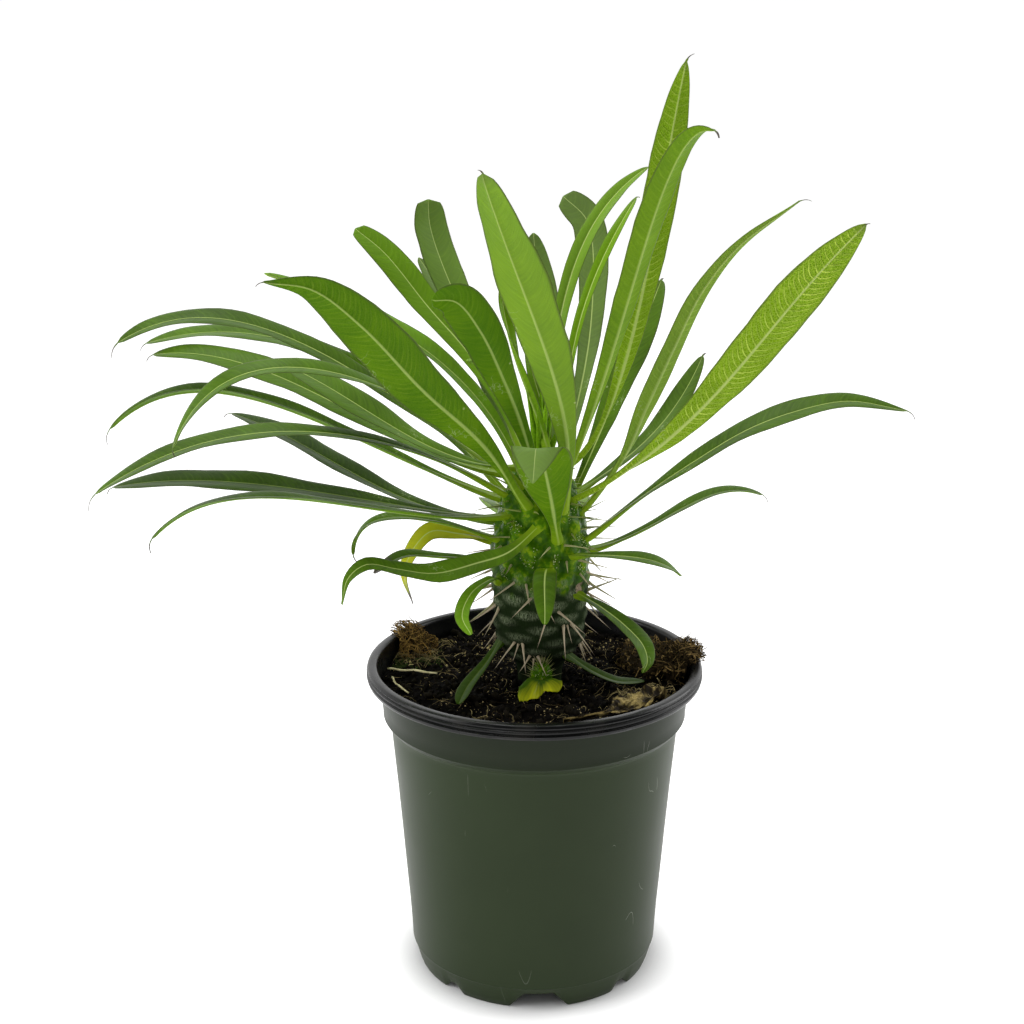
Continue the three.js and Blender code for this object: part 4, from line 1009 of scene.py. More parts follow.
def leaf_finish(name, settings, upper, under, spotted=0.0):
    """A living leaf: a satin cuticle over side veins that bow to the margin and a fine net
    between them, both stronger and raised underneath, with a pale midrib, a thin dark margin
    and a dried tip. `upper` and `under` each hold the darkest and the brightest green."""
    finish, tree, shader = new_finish(
        name,
        {"IOR": 1.45, "Specular IOR Level": 0.06, "Subsurface Weight": 0.08,
         "Subsurface Scale": 0.0008, "Subsurface Radius": (0.7, 1.0, 0.1)},
    )
    spot_on = add(tree, "Attribute", attribute_name="place")["Vector"]
    along, side, rib = add(tree, "SeparateXYZ", {0: spot_on})
    state = add(tree, "Attribute", attribute_name="state")["Vector"]
    beneath, life, tone = add(tree, "SeparateXYZ", {0: state})
    margin = add(tree, "Attribute", attribute_name="margin")["Fac"]
    veined = add(tree, "Attribute", attribute_name="veined")["Fac"]
    veins = side_veins(tree, spot_on, along, side, margin, settings.vein_spacing / MM)
    vein, furrow_shade, bend, phase, off = veins
    # The net's meshes are drawn 1 mm wide, a little coarser than life, so that they show.
    mesh = add(
        tree, "TexVoronoi", {"Vector": spot_on, "Scale": 1.0}, feature="DISTANCE_TO_EDGE",
    )["Distance"]
    net = add(tree, "MapRange", {0: mesh, 1: 0.03, 2: 0.22, 3: 1, 4: 0})[0]
    # Faint streaks 1.3 mm apart run with the veins, over a broad uneven wash.
    lane = add(tree, "CombineXYZ", {0: phase, 1: off})[0]
    combed = add(tree, "Mapping", {0: lane, 3: (0.75, 0.1, 1)})[0]
    streak = add(tree, "TexNoise", {"Vector": combed, "Scale": 1, "Detail": 3})[0]
    faint = add(tree, "MapRange", {0: streak, 1: 0.3, 2: 0.7, 3: -0.09, 4: 0.09})[0]
    broad = add(tree, "TexNoise", {"Vector": spot_on, "Scale": 0.03, "Detail": 2})[0]
    wash = add(tree, "MapRange", {0: broad, 1: 0.3, 2: 0.7, 3: -0.13, 4: 0.13})[0]
    shift = add(tree, "Math", {0: wash, 1: faint}, operation="ADD")[0]
    bright = add(tree, "Math", {0: tone, 1: shift}, operation="ADD", use_clamp=True)[0]
    top = add(tree, "Mix", {0: bright, 6: tint(upper[0]), 7: tint(upper[1])}, data_type="RGBA")[2]
    low = add(tree, "Mix", {0: bright, 6: tint(under[0]), 7: tint(under[1])}, data_type="RGBA")[2]
    pale = tint(settings.rib)
    show = add(tree, "Math", {0: vein, 1: 0.02}, operation="MULTIPLY")[0]
    top = add(tree, "Mix", {0: show, 6: top, 7: pale}, data_type="RGBA")[2]
    line = add(tree, "MapRange", {0: rib, 1: 0.15, 2: 0.42, 3: 1, 4: 0})[0]
    fresh = add(tree, "MapRange", {0: tone, 1: -0.05, 2: 0.15})[0]
    lit = add(tree, "MapRange", {0: fresh, 3: 0.12, 4: 0.85})[0]
    seen = add(tree, "Math", {0: line, 1: lit}, operation="MULTIPLY")[0]
    top = add(tree, "Mix", {0: seen, 6: top, 7: pale}, data_type="RGBA")[2]
    # Painted shade darkens the underside in the furrows beside the side veins, more on veined
    # leaves.
    depth = add(tree, "MapRange", {0: veined, 1: 0.2, 3: 0, 4: 0.4})[0]
    painted_furrow_shade = add(tree, "Math", {0: furrow_shade, 1: depth}, operation="MULTIPLY")[0]
    low = add(tree, "Mix", {0: painted_furrow_shade, 6: low, 7: tint(under[0])}, data_type="RGBA")[2]
    # A vein is strong here and faint there.
    firmer = add(tree, "MapRange", {0: bend, 1: 0.4, 2: 0.62, 3: 0.35, 4: 1.15})[0]
    bold = add(tree, "Math", {0: vein, 1: firmer}, operation="MULTIPLY")[0]
    mixed = add(tree, "Math", {0: net, 1: 0.48, 2: bold}, operation="MULTIPLY_ADD")[0]
    strength = add(tree, "MapRange", {0: veined, 1: 0.1, 3: 0.0, 4: 0.56})[0]
    drawn = add(tree, "Math", {0: mixed, 1: strength}, operation="MULTIPLY")[0]
    lime = tint("#c2da58")
    low = add(tree, "Mix", {0: drawn, 6: low, 7: lime}, data_type="RGBA")[2]
    firm = add(tree, "MapRange", {0: veined, 3: 0.42, 4: 0.85})[0]
    crest = add(tree, "MapRange", {0: rib, 1: 0.35, 2: 0.85, 3: 1, 4: 0})[0]
    keel = add(tree, "Math", {0: crest, 1: firm}, operation="MULTIPLY")[0]
    low = add(tree, "Mix", {0: keel, 6: low, 7: pale}, data_type="RGBA")[2]
    face = add(tree, "Math", {0: beneath, 1: 0.5}, operation="GREATER_THAN")[0]
    both = add(tree, "Mix", {0: face, 6: top, 7: low}, data_type="RGBA")[2]
    # Waxy bloom, partly real and partly a painted pale sheen: the leaf is mixed towards pale
    # grey-green by its own share.
    waxy_sheen = add(tree, "Attribute", attribute_name="bloom_and_sheen")["Fac"]
    both = add(tree, "Mix", {0: waxy_sheen, 6: both, 7: tint("#a8b486")}, data_type="RGBA")[2]
    rim = add(tree, "MapRange", {0: margin, 1: 0.88, 2: 0.99, 3: 0, 4: 0.8})[0]
    both = add(tree, "Mix", {0: rim, 6: both, 7: tint("#47502b")}, data_type="RGBA")[2]
    # The petiole, a sixth of the leaf, is yellower than the blade.
    whole = add(tree, "Math", {0: along, 1: life}, operation="ADD")[0]
    part = add(tree, "Math", {0: along, 1: whole}, operation="DIVIDE")[0]
    stalk = add(tree, "MapRange", {0: part, 1: 0.01, 2: 0.16, 3: 0.8, 4: 0})[0]
    sappy = add(tree, "Math", {0: stalk, 1: fresh}, operation="MULTIPLY")[0]
    both = add(tree, "Mix", {0: sappy, 6: both, 7: tint("#82a016")}, data_type="RGBA")[2]
    both = leaf_marks(tree, both, spot_on, broad, spotted)
    both = dried_tip(tree, both, spot_on, life, tint(settings.dead))
    satin = add(tree, "MapRange", {0: beneath, 3: 0.34, 4: 0.48})[0]
    raised = add(tree, "Math", {0: vein, 1: 1.6, 2: net}, operation="MULTIPLY_ADD")[0]
    swell = add(tree, "Math", {0: raised, 1: veined}, operation="MULTIPLY")[0]
    turn = add(tree, "MapRange", {0: beneath, 3: -0.3, 4: 1})[0]
    ribbed = add(tree, "Math", {0: swell, 1: turn}, operation="MULTIPLY")[0]
    relief = add(tree, "Math", {0: streak, 1: 0.5, 2: ribbed}, operation="MULTIPLY_ADD")[0]
    bump = add(tree, "Bump", {"Height": relief, "Strength": 0.7, "Distance": 0.00022})[0]
    feed(tree, shader, {"Base Color": both, "Roughness": satin, "Normal": bump})
    return finish


# ---- The pot --------------------------------------------------------------------------------


class PALM_OT_pot(Operator):
    """Turns the pot's thin wall in one, with its ridged lip, collar and notched foot, and lays
    a floor with drain holes in it"""

    bl_idname = "palm.pot"
    bl_label = "Pot"

    def execute(self, context):
        pot = context.scene.palm_pot
        top = pot.height / MM
        wall = self.wall(pot)
        self.cut_notches(wall, pot)
        inner = 0.5 * (RIM_RADIUS / MM)
        for face in wall.faces:
            middle = face.calc_center_median()
            inward = face.normal.x * middle.x + face.normal.y * middle.y < -0.01
            in_lip = middle.z > top - LIP_HEIGHT - 0.02
            inside = middle.z > FLOOR_TOP - 0.1 and inward and middle.xy.length > inner
            face.material_index = 1 if in_lip or inside else 0
        floor = self.floor_with_holes(pot)
        for face in floor.faces:
            face.material_index = 1 if face.normal.z > 0.5 else 0
        finishes = (pot_green_finish(pot), pot_black_finish(pot))
        whole = gathered(wall, floor)
        finished(whole, "nursery_pot", finishes, ["pot"], sharp=38)
        return {"FINISHED"}

    @staticmethod
    def wall(pot):
        """The wall with its lip, collar and foot ring, before its notches."""
        rim = pot.rim_radius / MM
        top = pot.height / MM
        ridge = pot.ridge_depth / MM
        outside = [
            (53.5, 0.3), (53.8, 0), (54.5, 0), (54.9, 0.4), (56.1, 3.6), (57, 6.8), (57.6, 9),
            (57.95, 10.8), (58.2, 11.3), (58.45, 11.5), (58.5, 12.2), (58.8, 18.8), (59.5, 29.6),
            (60.6, 43), (61.7, 57), (62.6, 69), (63.5, 80), (64.3, 90), (65.2, 100), (66.2, 111),
            (66.9, 119), (67.1, 121.6), (67.4, 122.6), (68.2, 123.5), (69.3, 124.3),
            (70, 125.1), (70.35, 125.8), (70.6, 126.1), (70.6, 126.6), (70.5, 127),
            (71, 131.5), (71.6, 137), (72.1, 142), (72.2, 142.6), (72.6, 142.95),
        ]
        lip = [
            (72.8, top - LIP_HEIGHT), (rim - 1.5, top - LIP_HEIGHT), (rim - 0.8, top - 6.8),
            (rim - 0.4, top - 6.2),
            (rim - 0.3, top - 5.2), (rim - ridge, top - 4.9), (rim, top - 4.6),
            (rim - ridge, top - 4.2), (rim - 0.5, top - 3.9), (rim - 0.5, top - 3.3),
            (rim - ridge, top - 3), (rim, top - 2.7), (rim - ridge, top - 2.3),
            (rim - 0.3, top - 1.3), (rim - 0.6, top - 0.6), (rim - 1.2, top - 0.15),
            (rim - 2, top), (rim - 3.6, top), (rim - 4.4, top - 0.2), (rim - 4.9, top - 0.8),
            (rim - 5.1, top - 1.8), (rim - 6, top - 6.2), (rim - 6.7, top - 8.5),
            (70.6, 135), (69.3, 126.6), (68.6, 125.4), (66.4, 123.6), (66, 122), (65.4, 111),
            (62.7, 80), (60.9, 57), (58.7, 29.6), (57.3, 10.5), (56, 10.5), (INSIDE_FOOT, 9.1),
        ]
        return turned(outside + lip, 384)

    @staticmethod
    def cut_notches(wall, pot):
        """Pushes the foot up into notches, wide and narrow by turns."""
        tall = pot.notch_height / MM
        slot = 2 * math.pi / pot.notch_count
        for vert in wall.verts:
            x, y, z = vert.co
            on_foot = math.hypot(x, y) > INSIDE_FOOT + 0.01 or z < 1
            if z > FOOT_TOP or not on_foot:
                continue
            turn = math.atan2(y, x) - FIRST_NOTCH_TURN
            aside = abs((turn + slot / 2) % slot - slot / 2) * FOOT_RADIUS
            if round(turn / slot) % 2 == 0:
                cut = tall * clamp((WIDE_NOTCH - aside) / WIDE_SLOPE)
            else:
                cut = tall / 2 * clamp((NARROW_NOTCH - aside) / NARROW_SLOPE)
            vert.co.z = cut + (FOOT_TOP - cut) * z / FOOT_TOP

    @staticmethod
    def floor_with_holes(pot):
        """The pot's floor as a plate with one hole in its middle and one behind each notch."""
        bm = bmesh.new()
        hole = pot.hole_radius / MM
        bmesh.ops.create_circle(bm, cap_ends=False, segments=96, radius=56.2)
        places = [Vector()]
        for i in range(pot.notch_count):
            turn = FIRST_NOTCH_TURN + i * 2 * math.pi / pot.notch_count
            places.append(heading(turn, 0) * HOLE_RING)
        for place in places:
            bmesh.ops.create_circle(
                bm, cap_ends=False, segments=28, radius=hole, matrix=Matrix.Translation(place)
            )
        bmesh.ops.triangle_fill(bm, use_beauty=True, use_dissolve=False, edges=bm.edges)
        bmesh.ops.recalc_face_normals(bm, faces=bm.faces)
        if sum(face.normal.z for face in bm.faces) < 0:
            bmesh.ops.reverse_faces(bm, faces=bm.faces)
        bmesh.ops.translate(bm, vec=(0, 0, FLOOR_TOP), verts=bm.verts)
        bmesh.ops.solidify(bm, geom=bm.faces, thickness=FLOOR_THICKNESS)
        bmesh.ops.recalc_face_normals(bm, faces=bm.faces)
        return bm


# ---- Peat and what lies on it ---------------------------------------------------------------


def kept_in(place, reach=LITTER_REACH, below=ABOVE_LIP):
    """A place moved in to `reach` from the axis if it lies lower than `below`."""
    out = math.hypot(place[0], place[1])
    if place[2] < below and out > reach:
        return Vector((place[0] * reach / out, place[1] * reach / out, place[2]))
    return Vector(place)


def lying_path(x, y, turn, length, curl, radius, seed, height=0.5):
    """A fibre that lies on the peat: (place, radius) pairs along an arc."""
    path = []
    rows = 7
    for i in range(rows):
        t = i / (rows - 1)
        bend = turn + curl * (t - 0.5)
        px = x + math.cos(bend) * length * (t - 0.5)
        py = y + math.sin(bend) * length * (t - 0.5)
        px, py, _ = kept_in((px, py, 0), 70)
        hump = height * (0.6 + math.sin(math.pi * t) * (1 + draw(seed * 3.3)) * 1.2)
        width = radius * (0.35 + 0.65 * math.sin(math.pi * clamp(t * 0.9 + 0.05)))
        path.append((Vector((px, py, peat_top(px, py) + hump)), width))
    return path


def around_blob(centre, size, i, rows=7, length=18, radius=0.2):
    """A curly fibre that clings to a rounded lump and may stand off it at its ends."""
    turn = 2 * math.pi * draw(i * 1.3)
    rise = math.asin(mix(-0.1, 0.95, draw(i * 2.1)))
    normal = heading(turn, rise)
    start = Vector(centre) + Vector((normal.x * size[0], normal.y * size[1], normal.z * size[2]))
    side = normal.cross(Vector((draw(i * 3.7) - 0.5, draw(i * 4.9) - 0.5, draw(i * 6.1) - 0.5)))
    side.normalize()
    reach = length * mix(0.5, 1.3, draw(i * 7.7))
    path = []
    for row in range(rows):
        t = row / (rows - 1) - 0.5
        stand = normal * (1.2 - 5.5 * t * t + 2.2 * math.sin(t * 9 + i))
        curl = side.cross(normal) * math.sin(t * 6 + i * 0.7) * reach * 0.16
        place = start + side * reach * t + stand + curl
        place.z = max(place.z, SOIL_Z + 0.6)
        path.append((place, radius * mix(0.5, 1.4, draw(i * 8.3)) * (1 - 1.5 * t * t)))
    return path


class PALM_OT_peat(Operator):
    """Fills the pot with peat: a crumbly surface, loose crumbs, fibres and moss on it"""

    bl_idname = "palm.peat"
    bl_label = "Peat"

    def execute(self, context):
        peat = context.scene.palm_peat
        self.block(peat)
        self.loose_crumbs(peat)
        self.fibres(peat)
        self.moss(peat)
        return {"FINISHED"}

    @staticmethod
    def block(peat):
        """The peat down to the pot's floor, with its crumbly surface."""
        wall = [(56.9, 10.9), (66, 123.6), (69, 126.6), (SOIL_RADIUS, SOIL_Z - 0.5)]
        rings = [(SOIL_RADIUS * (1 - i / 88), SOIL_Z) for i in range(88)]
        bm = turned([(0, 10.9), *wall, *rings, (0, SOIL_Z)], 340)
        for vert in bm.verts:
            if vert.co.z > SOIL_Z - 0.01:
                x, y, _ = vert.co
                edge = ease(math.hypot(x, y), 71, 69.4)
                vert.co.z = mix(SOIL_Z - 0.4, peat_top(x, y), edge)
        finished(bm, "peat", [peat_finish(peat)], ["soil"])

    @staticmethod
    def loose_crumbs(peat):
        """Dark crumbs everywhere, and small pale bits in patches."""
        size = peat.crumb_size / MM
        places = []
        for i in range(peat.crumb_count):
            reach = 69.5 * math.sqrt(draw(i * 1.11))
            turn = 2 * math.pi * draw(i * 2.37)
            x, y = reach * math.cos(turn), reach * math.sin(turn)
            if math.hypot(x - STEM_X, y) < 11.5:
                continue
            big = size * mix(0.3, 2.2, draw(i * 3.9) ** 6)
            shade = draw(i * 4.3)
            rich = rough(x, y, 7, 13) + 0.5 * ease(y, -36, -62) + 0.55 * ease(y, -5, 30)
            pale = shade < 0.08 + 0.5 * ease(rich, 0, 0.65)
            shade = mix(0.1, 1, draw(i * 5.1) ** 1.7) if pale else 0.012 * draw(i * 8.7)
            if pale:
                big = min(big, size * mix(0.22, 0.8, draw(i * 6.7) ** 2))
            places.append(((x, y, peat_top(x, y) + big * 0.35), big, shade))
        crumb = litter_finish("peat_crumbs_dry", tint(peat.dark), tint("#e0cb92"), 0.9)
        finished(crumbs(places), "peat_crumbs", [crumb])

    @staticmethod
    def fibres(peat):
        """Fibres on the peat, and the loose roots near the two clumps."""
        radius = peat.fibre_radius / MM
        paths, tones = [], []
        for i in range(peat.fibre_count):
            reach = 67 * math.sqrt(mix(0.04, 1, draw(i * 1.9 + 50)))
            turn = 2 * math.pi * draw(i * 2.9 + 50)
            length = mix(3, 15, draw(i * 3.1) ** 2)
            x, y = reach * math.cos(turn), reach * math.sin(turn)
            curl = 2.4 * (draw(i * 4.1) - 0.5)
            thick = radius * mix(0.6, 1.8, draw(i * 6.7) ** 2)
            paths.append(lying_path(x, y, 2 * math.pi * draw(i * 5.3), length, curl, thick, i))
            tones.append(mix(0.02, 1, draw(i * 7.9) ** 2.2))
        # Roots lie thick in front of the right clump, and round the left one.
        for i in range(90):
            x, y = mix(36, 64, draw(i * 1.7 + 3)), mix(-40, -12, draw(i * 2.3 + 3))
            length = mix(4, 13, draw(i * 3.7))
            curl = 6 * (draw(i * 4.9) - 0.5)
            turn = 2 * math.pi * draw(i * 5.9)
            paths.append(lying_path(x, y, turn, length, curl, 1.3 * radius, i, height=1.4))
            tones.append(mix(0.2, 0.85, draw(i * 6.1)))
        for i in range(70):
            x, y = mix(-68, -40, draw(i * 1.3 + 5)), mix(14, 44, draw(i * 2.9 + 5))
            length = mix(4, 14, draw(i * 3.3))
            curl = 5 * (draw(i * 4.3) - 0.5)
            turn = 2 * math.pi * draw(i * 5.3 + 7)
            paths.append(lying_path(x, y, turn, length, curl, 1.2 * radius, i, height=1.2))
            tones.append(mix(0.1, 0.7, draw(i * 6.7)))
        fibre = litter_finish("root_fibres_dry", tint("#2a1b0c"), tint(peat.straw), 0.7)
        finished(strands(paths, 3, tones), "peat_fibres", [fibre])

    @staticmethod
    def moss(peat):
        """Cushions of moss by the left clump."""
        places = []
        for i in range(600):
            x = mix(-70, -42, draw(i * 1.7 + 9))
            y = mix(10, 34, draw(i * 2.7 + 9))
            inside = math.hypot(x, y) < 69
            if inside and rough(x, y, 20, 9) > -0.05:
                lift = peat_top(x, y) + 0.2
                places.append(((x, y, lift), mix(0.3, 0.7, draw(i * 3.3)), draw(i * 4.7)))
        moss = litter_finish(
            "moss_cushion", tint(c * 0.35 for c in peat.moss), tint(peat.moss), 0.8
        )
        finished(crumbs(places, lengthen=1.5), "moss", [moss])


class PALM_OT_litter(Operator):
    """Lays the two clumps of matted roots, two straws, a withered leaf and a torn scrap of leaf
    on the peat"""

    bl_idname = "palm.litter"
    bl_label = "Roots and litter"

    def execute(self, context):
        peat = context.scene.palm_peat
        gold = litter_finish("matted_roots_golden", tint("#0e0904"), tint(peat.gold), 0.8)
        dark = litter_finish("matted_roots_dark", tint(peat.dark), tint("#b89a62"), 0.9)
        self.clump(
            "root_clump_left", "root_lump_left", gold, 0.95, 210, 13, 3,
            [((-57, 37, 142), (8, 12, 3)), ((-62, 39, 146.5), (6, 8, 4))],
        )
        self.clump(
            "root_clump_right", "root_lump_right", dark, 0.12, 300, 12, 5,
            [
                ((54, 20, 142), (13, 22, 5.5)), ((65, 4, 147), (7, 14, 6)),
                ((71.5, 2, 152), (5.5, 9, 4)),
            ],
        )
        self.straws()
        self.withered_leaf()
        self.torn_scrap(context.scene.palm_leaves)
        return {"FINISHED"}

    @staticmethod
    def clump(name, node, finish, tone, count, length, seed, blobs):
        """A crumbly core under a mat of curly roots."""
        cores, places, paths, tones = [], [], [], []
        for centre, size in blobs:
            bm = bmesh.new()
            bmesh.ops.create_icosphere(bm, subdivisions=5, radius=1)
            for vert in bm.verts:
                x, y, z = (a * b + c for a, b, c in zip(vert.co, size, centre))
                swell = 1 + 0.16 * rough(x, y, z, 5) + 0.12 * rough(x, y, z, 2)
                swollen = [a * b * swell + c for a, b, c in zip(vert.co, size, centre)]
                vert.co = kept_in(swollen, 70.6, 150.3)
                vert.co.z = max(vert.co.z, SOIL_Z - 1)
            shade = bm.verts.layers.float.new("tone")
            for vert in bm.verts:
                vert[shade] = 0.04 + 0.12 * tone * max(0, rough(*vert.co, 2.5))
            cores.append(bm)
        for i in range(count):
            centre, size = blobs[i % len(blobs)]
            path = around_blob(centre, size, i + seed * 1000, length=length)
            paths.append([(kept_in(place), radius) for place, radius in path])
            tones.append(mix(0.04, 1, draw(i * 2.3 + seed) ** mix(4.5, 1.5, tone)))
        for i in range(count * 2):
            centre, size = blobs[i % len(blobs)]
            normal = heading(2 * math.pi * draw(i * 1.9 + seed), math.asin(draw(i * 2.9 + seed)))
            place = kept_in([a * b * 1.04 + c for a, b, c in zip(normal, size, centre)])
            place.z = max(place.z, SOIL_Z)
            places.append((place, mix(0.3, 1.1, draw(i * 3.7) ** 2), draw(i * 4.3) ** 3))
        held = gathered(*cores, strands(paths, 4, tones), crumbs(places))
        finished(held, name, [finish], [node])

    @staticmethod
    def straws():
        """Two cut straws, split and bleached."""
        finish = litter_finish("straw_bleached", tint("#a08a52"), tint("#e6dcae"), 0.6)
        routes = (
            ("straw_long", 0.52, [(-69, 6), (-62, 5), (-56, 4), (-51, 3), (-45.5, 2)]),
            ("straw_short", 0.45, [(-66, -4.5), (-64, -12), (-61, -18), (-57.5, -23.5)]),
        )
        for name, radius, route in routes:
            line = smooth_through([(x, y, SOIL_Z + peat_lift(x, y) + 2.2) for x, y in route])
            places = spread(line, [0, 0, *(i / 16 for i in range(1, 16)), 1, 1])
            path = []
            for i, (place, _) in enumerate(places):
                closed = i in (0, len(places) - 1)
                node_swell = 1 + 0.22 * math.exp(-(((i - 10) / 1.1) ** 2))
                wavy = radius * node_swell * mix(0.85, 1.1, draw(i * 2.2))
                place = place + Vector((0, 0.25 * math.sin(i * 0.9), 0.2 * math.sin(i * 0.7)))
                if i == 1:
                    place = path[0][0].copy()
                if i == len(places) - 1:
                    place = path[-1][0].copy()
                path.append((place, 0 if closed else wavy))
            finished(strands([path], 9, [1.0]), name, [finish], [name])

    @staticmethod
    def withered_leaf():
        """A leaf that has dried to a crumpled golden tissue."""
        route = [(12, -57, 3), (24, -55, 4.5), (36, -48, 5.5), (48, -38, 6.5), (59, -25, 4)]
        line = smooth_through([(x, y, SOIL_Z + peat_lift(x, y) + h) for x, y, h in route])
        rows, columns = 130, 34
        places = spread(line, [i / rows for i in range(rows + 1)])
        bm = bmesh.new()
        bmesh.ops.create_grid(bm, x_segments=rows, y_segments=columns, size=1)
        tone = bm.verts.layers.float.new("tone")
        for vert in bm.verts:
            u = (vert.co.x + 1) / 2
            s = vert.co.y
            place, along = places[round(u * rows)]
            across = Vector((0, 0, 1)).cross(along).normalized()
            across.rotate(Quaternion(along, 0.25 * math.sin(u * 5 + 0.5)))
            up = along.cross(across)
            half = 0.5 + 8.5 * ease(u, 0.3, 0.62) * ease(u, 1.05, 0.72)
            half *= 1 + 0.35 * rough(u * 60, 0, 30 * (s > 0), 7) * s * s
            folds = 1.9 * rough(u * 22, s * half, 1, 2.6) + 0.8 * rough(u * 50, s * half, 5, 1.4)
            sweep = 1.5 * s * s + 2.4 * ease(u, 0.6, 1) * math.sin(s * 3 + u * 6)
            vert.co = place + across * s * half + up * (folds * min(1, half / 3) + sweep - 1.2)
            vert.co.z = max(vert.co.z, peat_top(vert.co.x, vert.co.y) + 0.15)
            vert.co = kept_in(vert.co, 70.2)
            nearest = noise.voronoi(Vector((u * 75, s * half, 0)) * 0.8)[0]
            mesh = 1 - clamp((nearest[1] - nearest[0]) / 0.3)
            blotch = 0.7 * rough(u * 60, s * 8, 2, 7) + 0.5 * rough(u * 30, s * half, 2, 1.6)
            rib = 0.3 * math.exp(-((s * half) ** 2))
            vert[tone] = clamp(1.6 * blotch - 0.08 + 0.4 * mesh + rib)
        bmesh.ops.solidify(bm, geom=bm.faces, thickness=0.3)
        bmesh.ops.recalc_face_normals(bm, faces=bm.faces)
        finish = litter_finish("leaf_withered", tint("#1d1506"), tint("#b5a066"), 0.6)
        finished(bm, "withered_leaf", [finish], ["dry_leaf"])

    @staticmethod
    def torn_scrap(leaves):
        """A scrap of yellowing leaf, torn along its lower edge, that hangs from the offset."""
        upper = smooth_through(
            [(-6.8, -25.3, 0), (-3.2, -22.7, 0), (1, -22.5, 0), (5, -22.6, 0), (9, -22.5, 0),
             (12.2, -24, 0)]
        )
        lower = smooth_through(
            [(-7.8, -29, 0), (-6.5, -31, 0), (-2.5, -30.4, 0), (1.5, -28.6, 0), (4, -26.8, 0),
             (7, -27.6, 0), (10.5, -27.6, 0), (12.4, -25, 0)]
        )
        columns, rows = 60, 22
        shares = [i / columns for i in range(columns + 1)]
        tops, feet = spread(upper, shares), spread(lower, shares)
        bm = bmesh.new()
        bmesh.ops.create_grid(bm, x_segments=columns, y_segments=rows, size=1)
        spot = bm.verts.layers.float_vector.new("place")
        state = bm.verts.layers.float_vector.new("state")
        margin = bm.verts.layers.float.new("margin")
        veined = bm.verts.layers.float.new("veined")
        for vert in bm.verts:
            u, t = (vert.co.x + 1) / 2, (vert.co.y + 1) / 2
            at = round(u * columns)
            torn = 0.5 * rough(u * 40, 1, 1, 2.2) * t
            x, y, _ = tops[at][0].lerp(feet[at][0], t)
            y += torn
            billow = 1.6 * math.sin(math.pi * t) * (1 + 0.3 * math.sin(u * 9))
            billow += 0.5 * math.sin(u * 7)
            valley = math.exp(-(((u - 0.52) / 0.12) ** 2))
            z = SOIL_Z + peat_lift(x, y) + 0.9 + (y + 30.5) * 1.05 + billow * 0.8 - 1.2 * valley
            fan = math.atan2(y + 21, x - 2.5)
            vert[spot] = (fan * 22 + 90, math.hypot(x - 2.5, y + 21) * 0.3, 2)
            streak = 0.35 * rough(fan * 9, 0, 0, 1)
            # Darker towards the upper edge and both ends, with streaks that fan from the stalk,
            # and painted shade along the middle fold.
            shade = 1.05 * t - 0.52 + 0.45 * ease(u, 0.1, 0.45) - 0.25 * ease(u, 0.55, 1)
            shade += streak - 0.5 * valley
            vert[state] = (1, 30, shade + 0.25 * rough(x, y, 1, 4))
            vert[margin] = 0.4
            vert[veined] = 0.15
            vert.co = (x, y, z)
        bmesh.ops.solidify(bm, geom=bm.faces, thickness=0.35)
        bmesh.ops.recalc_face_normals(bm, faces=bm.faces)
        finish = leaf_finish(
            "leaf_scrap_yellowing", leaves,
            (linear("#33500a"), linear("#bfc318")), (linear("#33500a"), linear("#c2c61a")),
        )
        finished(bm, "torn_leaf_scrap", [finish], ["torn_leaf"])


# ---- Leaves ---------------------------------------------------------------------------------

# Where the points of a cross-section lie: shares of the half width, and of the rib's half width.
BLADE_STEPS = (1, 0.93, 0.76, 0.54, 0.32)
RIB_STEPS = (1, 0.5, 0, -0.5, -1)
BLADE_TREES = []


def leaf_width(u, leaf):
    """The blade's width at a share u of its length: a petiole, a long oval, then a point."""
    width, widest, taper = leaf["width"], leaf.get("widest", WIDEST_AT), leaf.get("taper", TAPER)
    petiole = mix(min(PETIOLE_WIDTH, width * 0.45), TIP_WIDTH, u)
    v = clamp((u - 0.06) / 0.94)
    close = taper * (1 - widest) / widest
    peak = widest**taper * (1 - widest) ** close
    return petiole + (width - petiole) * v**taper * (1 - v) ** close / peak


def midrib(leaf):
    """The midrib as a fine line, with the compass angles of its base and its tip."""
    azimuth, facing, place = KNOBS[leaf["knob"]]
    base = place + facing * (seat_lift(place) + CLEARANCE)
    tip = Vector(leaf["tip"])
    chord = tip - base
    turn = math.atan2(chord.y, chord.x) - azimuth
    swing = math.atan2(math.sin(turn), math.cos(turn))
    settle = facing * -SEATING
    if "via" in leaf:
        line = smooth_through([base, *leaf["via"], tip])
        return [point + settle for point in line], azimuth, azimuth + swing
    tip_azimuth = azimuth + swing + clamp(swing, -MOST_SWING, MOST_SWING)
    leaving = heading(azimuth + math.radians(leaf.get("lead", 0)), math.radians(leaf["rise"]))
    arriving = heading(tip_azimuth, math.radians(leaf["tip_rise"]))
    leave = base + leaving * leaf.get("reach", 0.4) * chord.length
    arrive = tip - arriving * leaf.get("curl", 0.36) * chord.length
    line = []
    for i in range(161):
        t = i / 160
        line.append(
            base * (1 - t) ** 3 + leave * 3 * t * (1 - t) ** 2
            + arrive * 3 * t * t * (1 - t) + tip * t**3 + settle
        )
    return line, azimuth, tip_azimuth


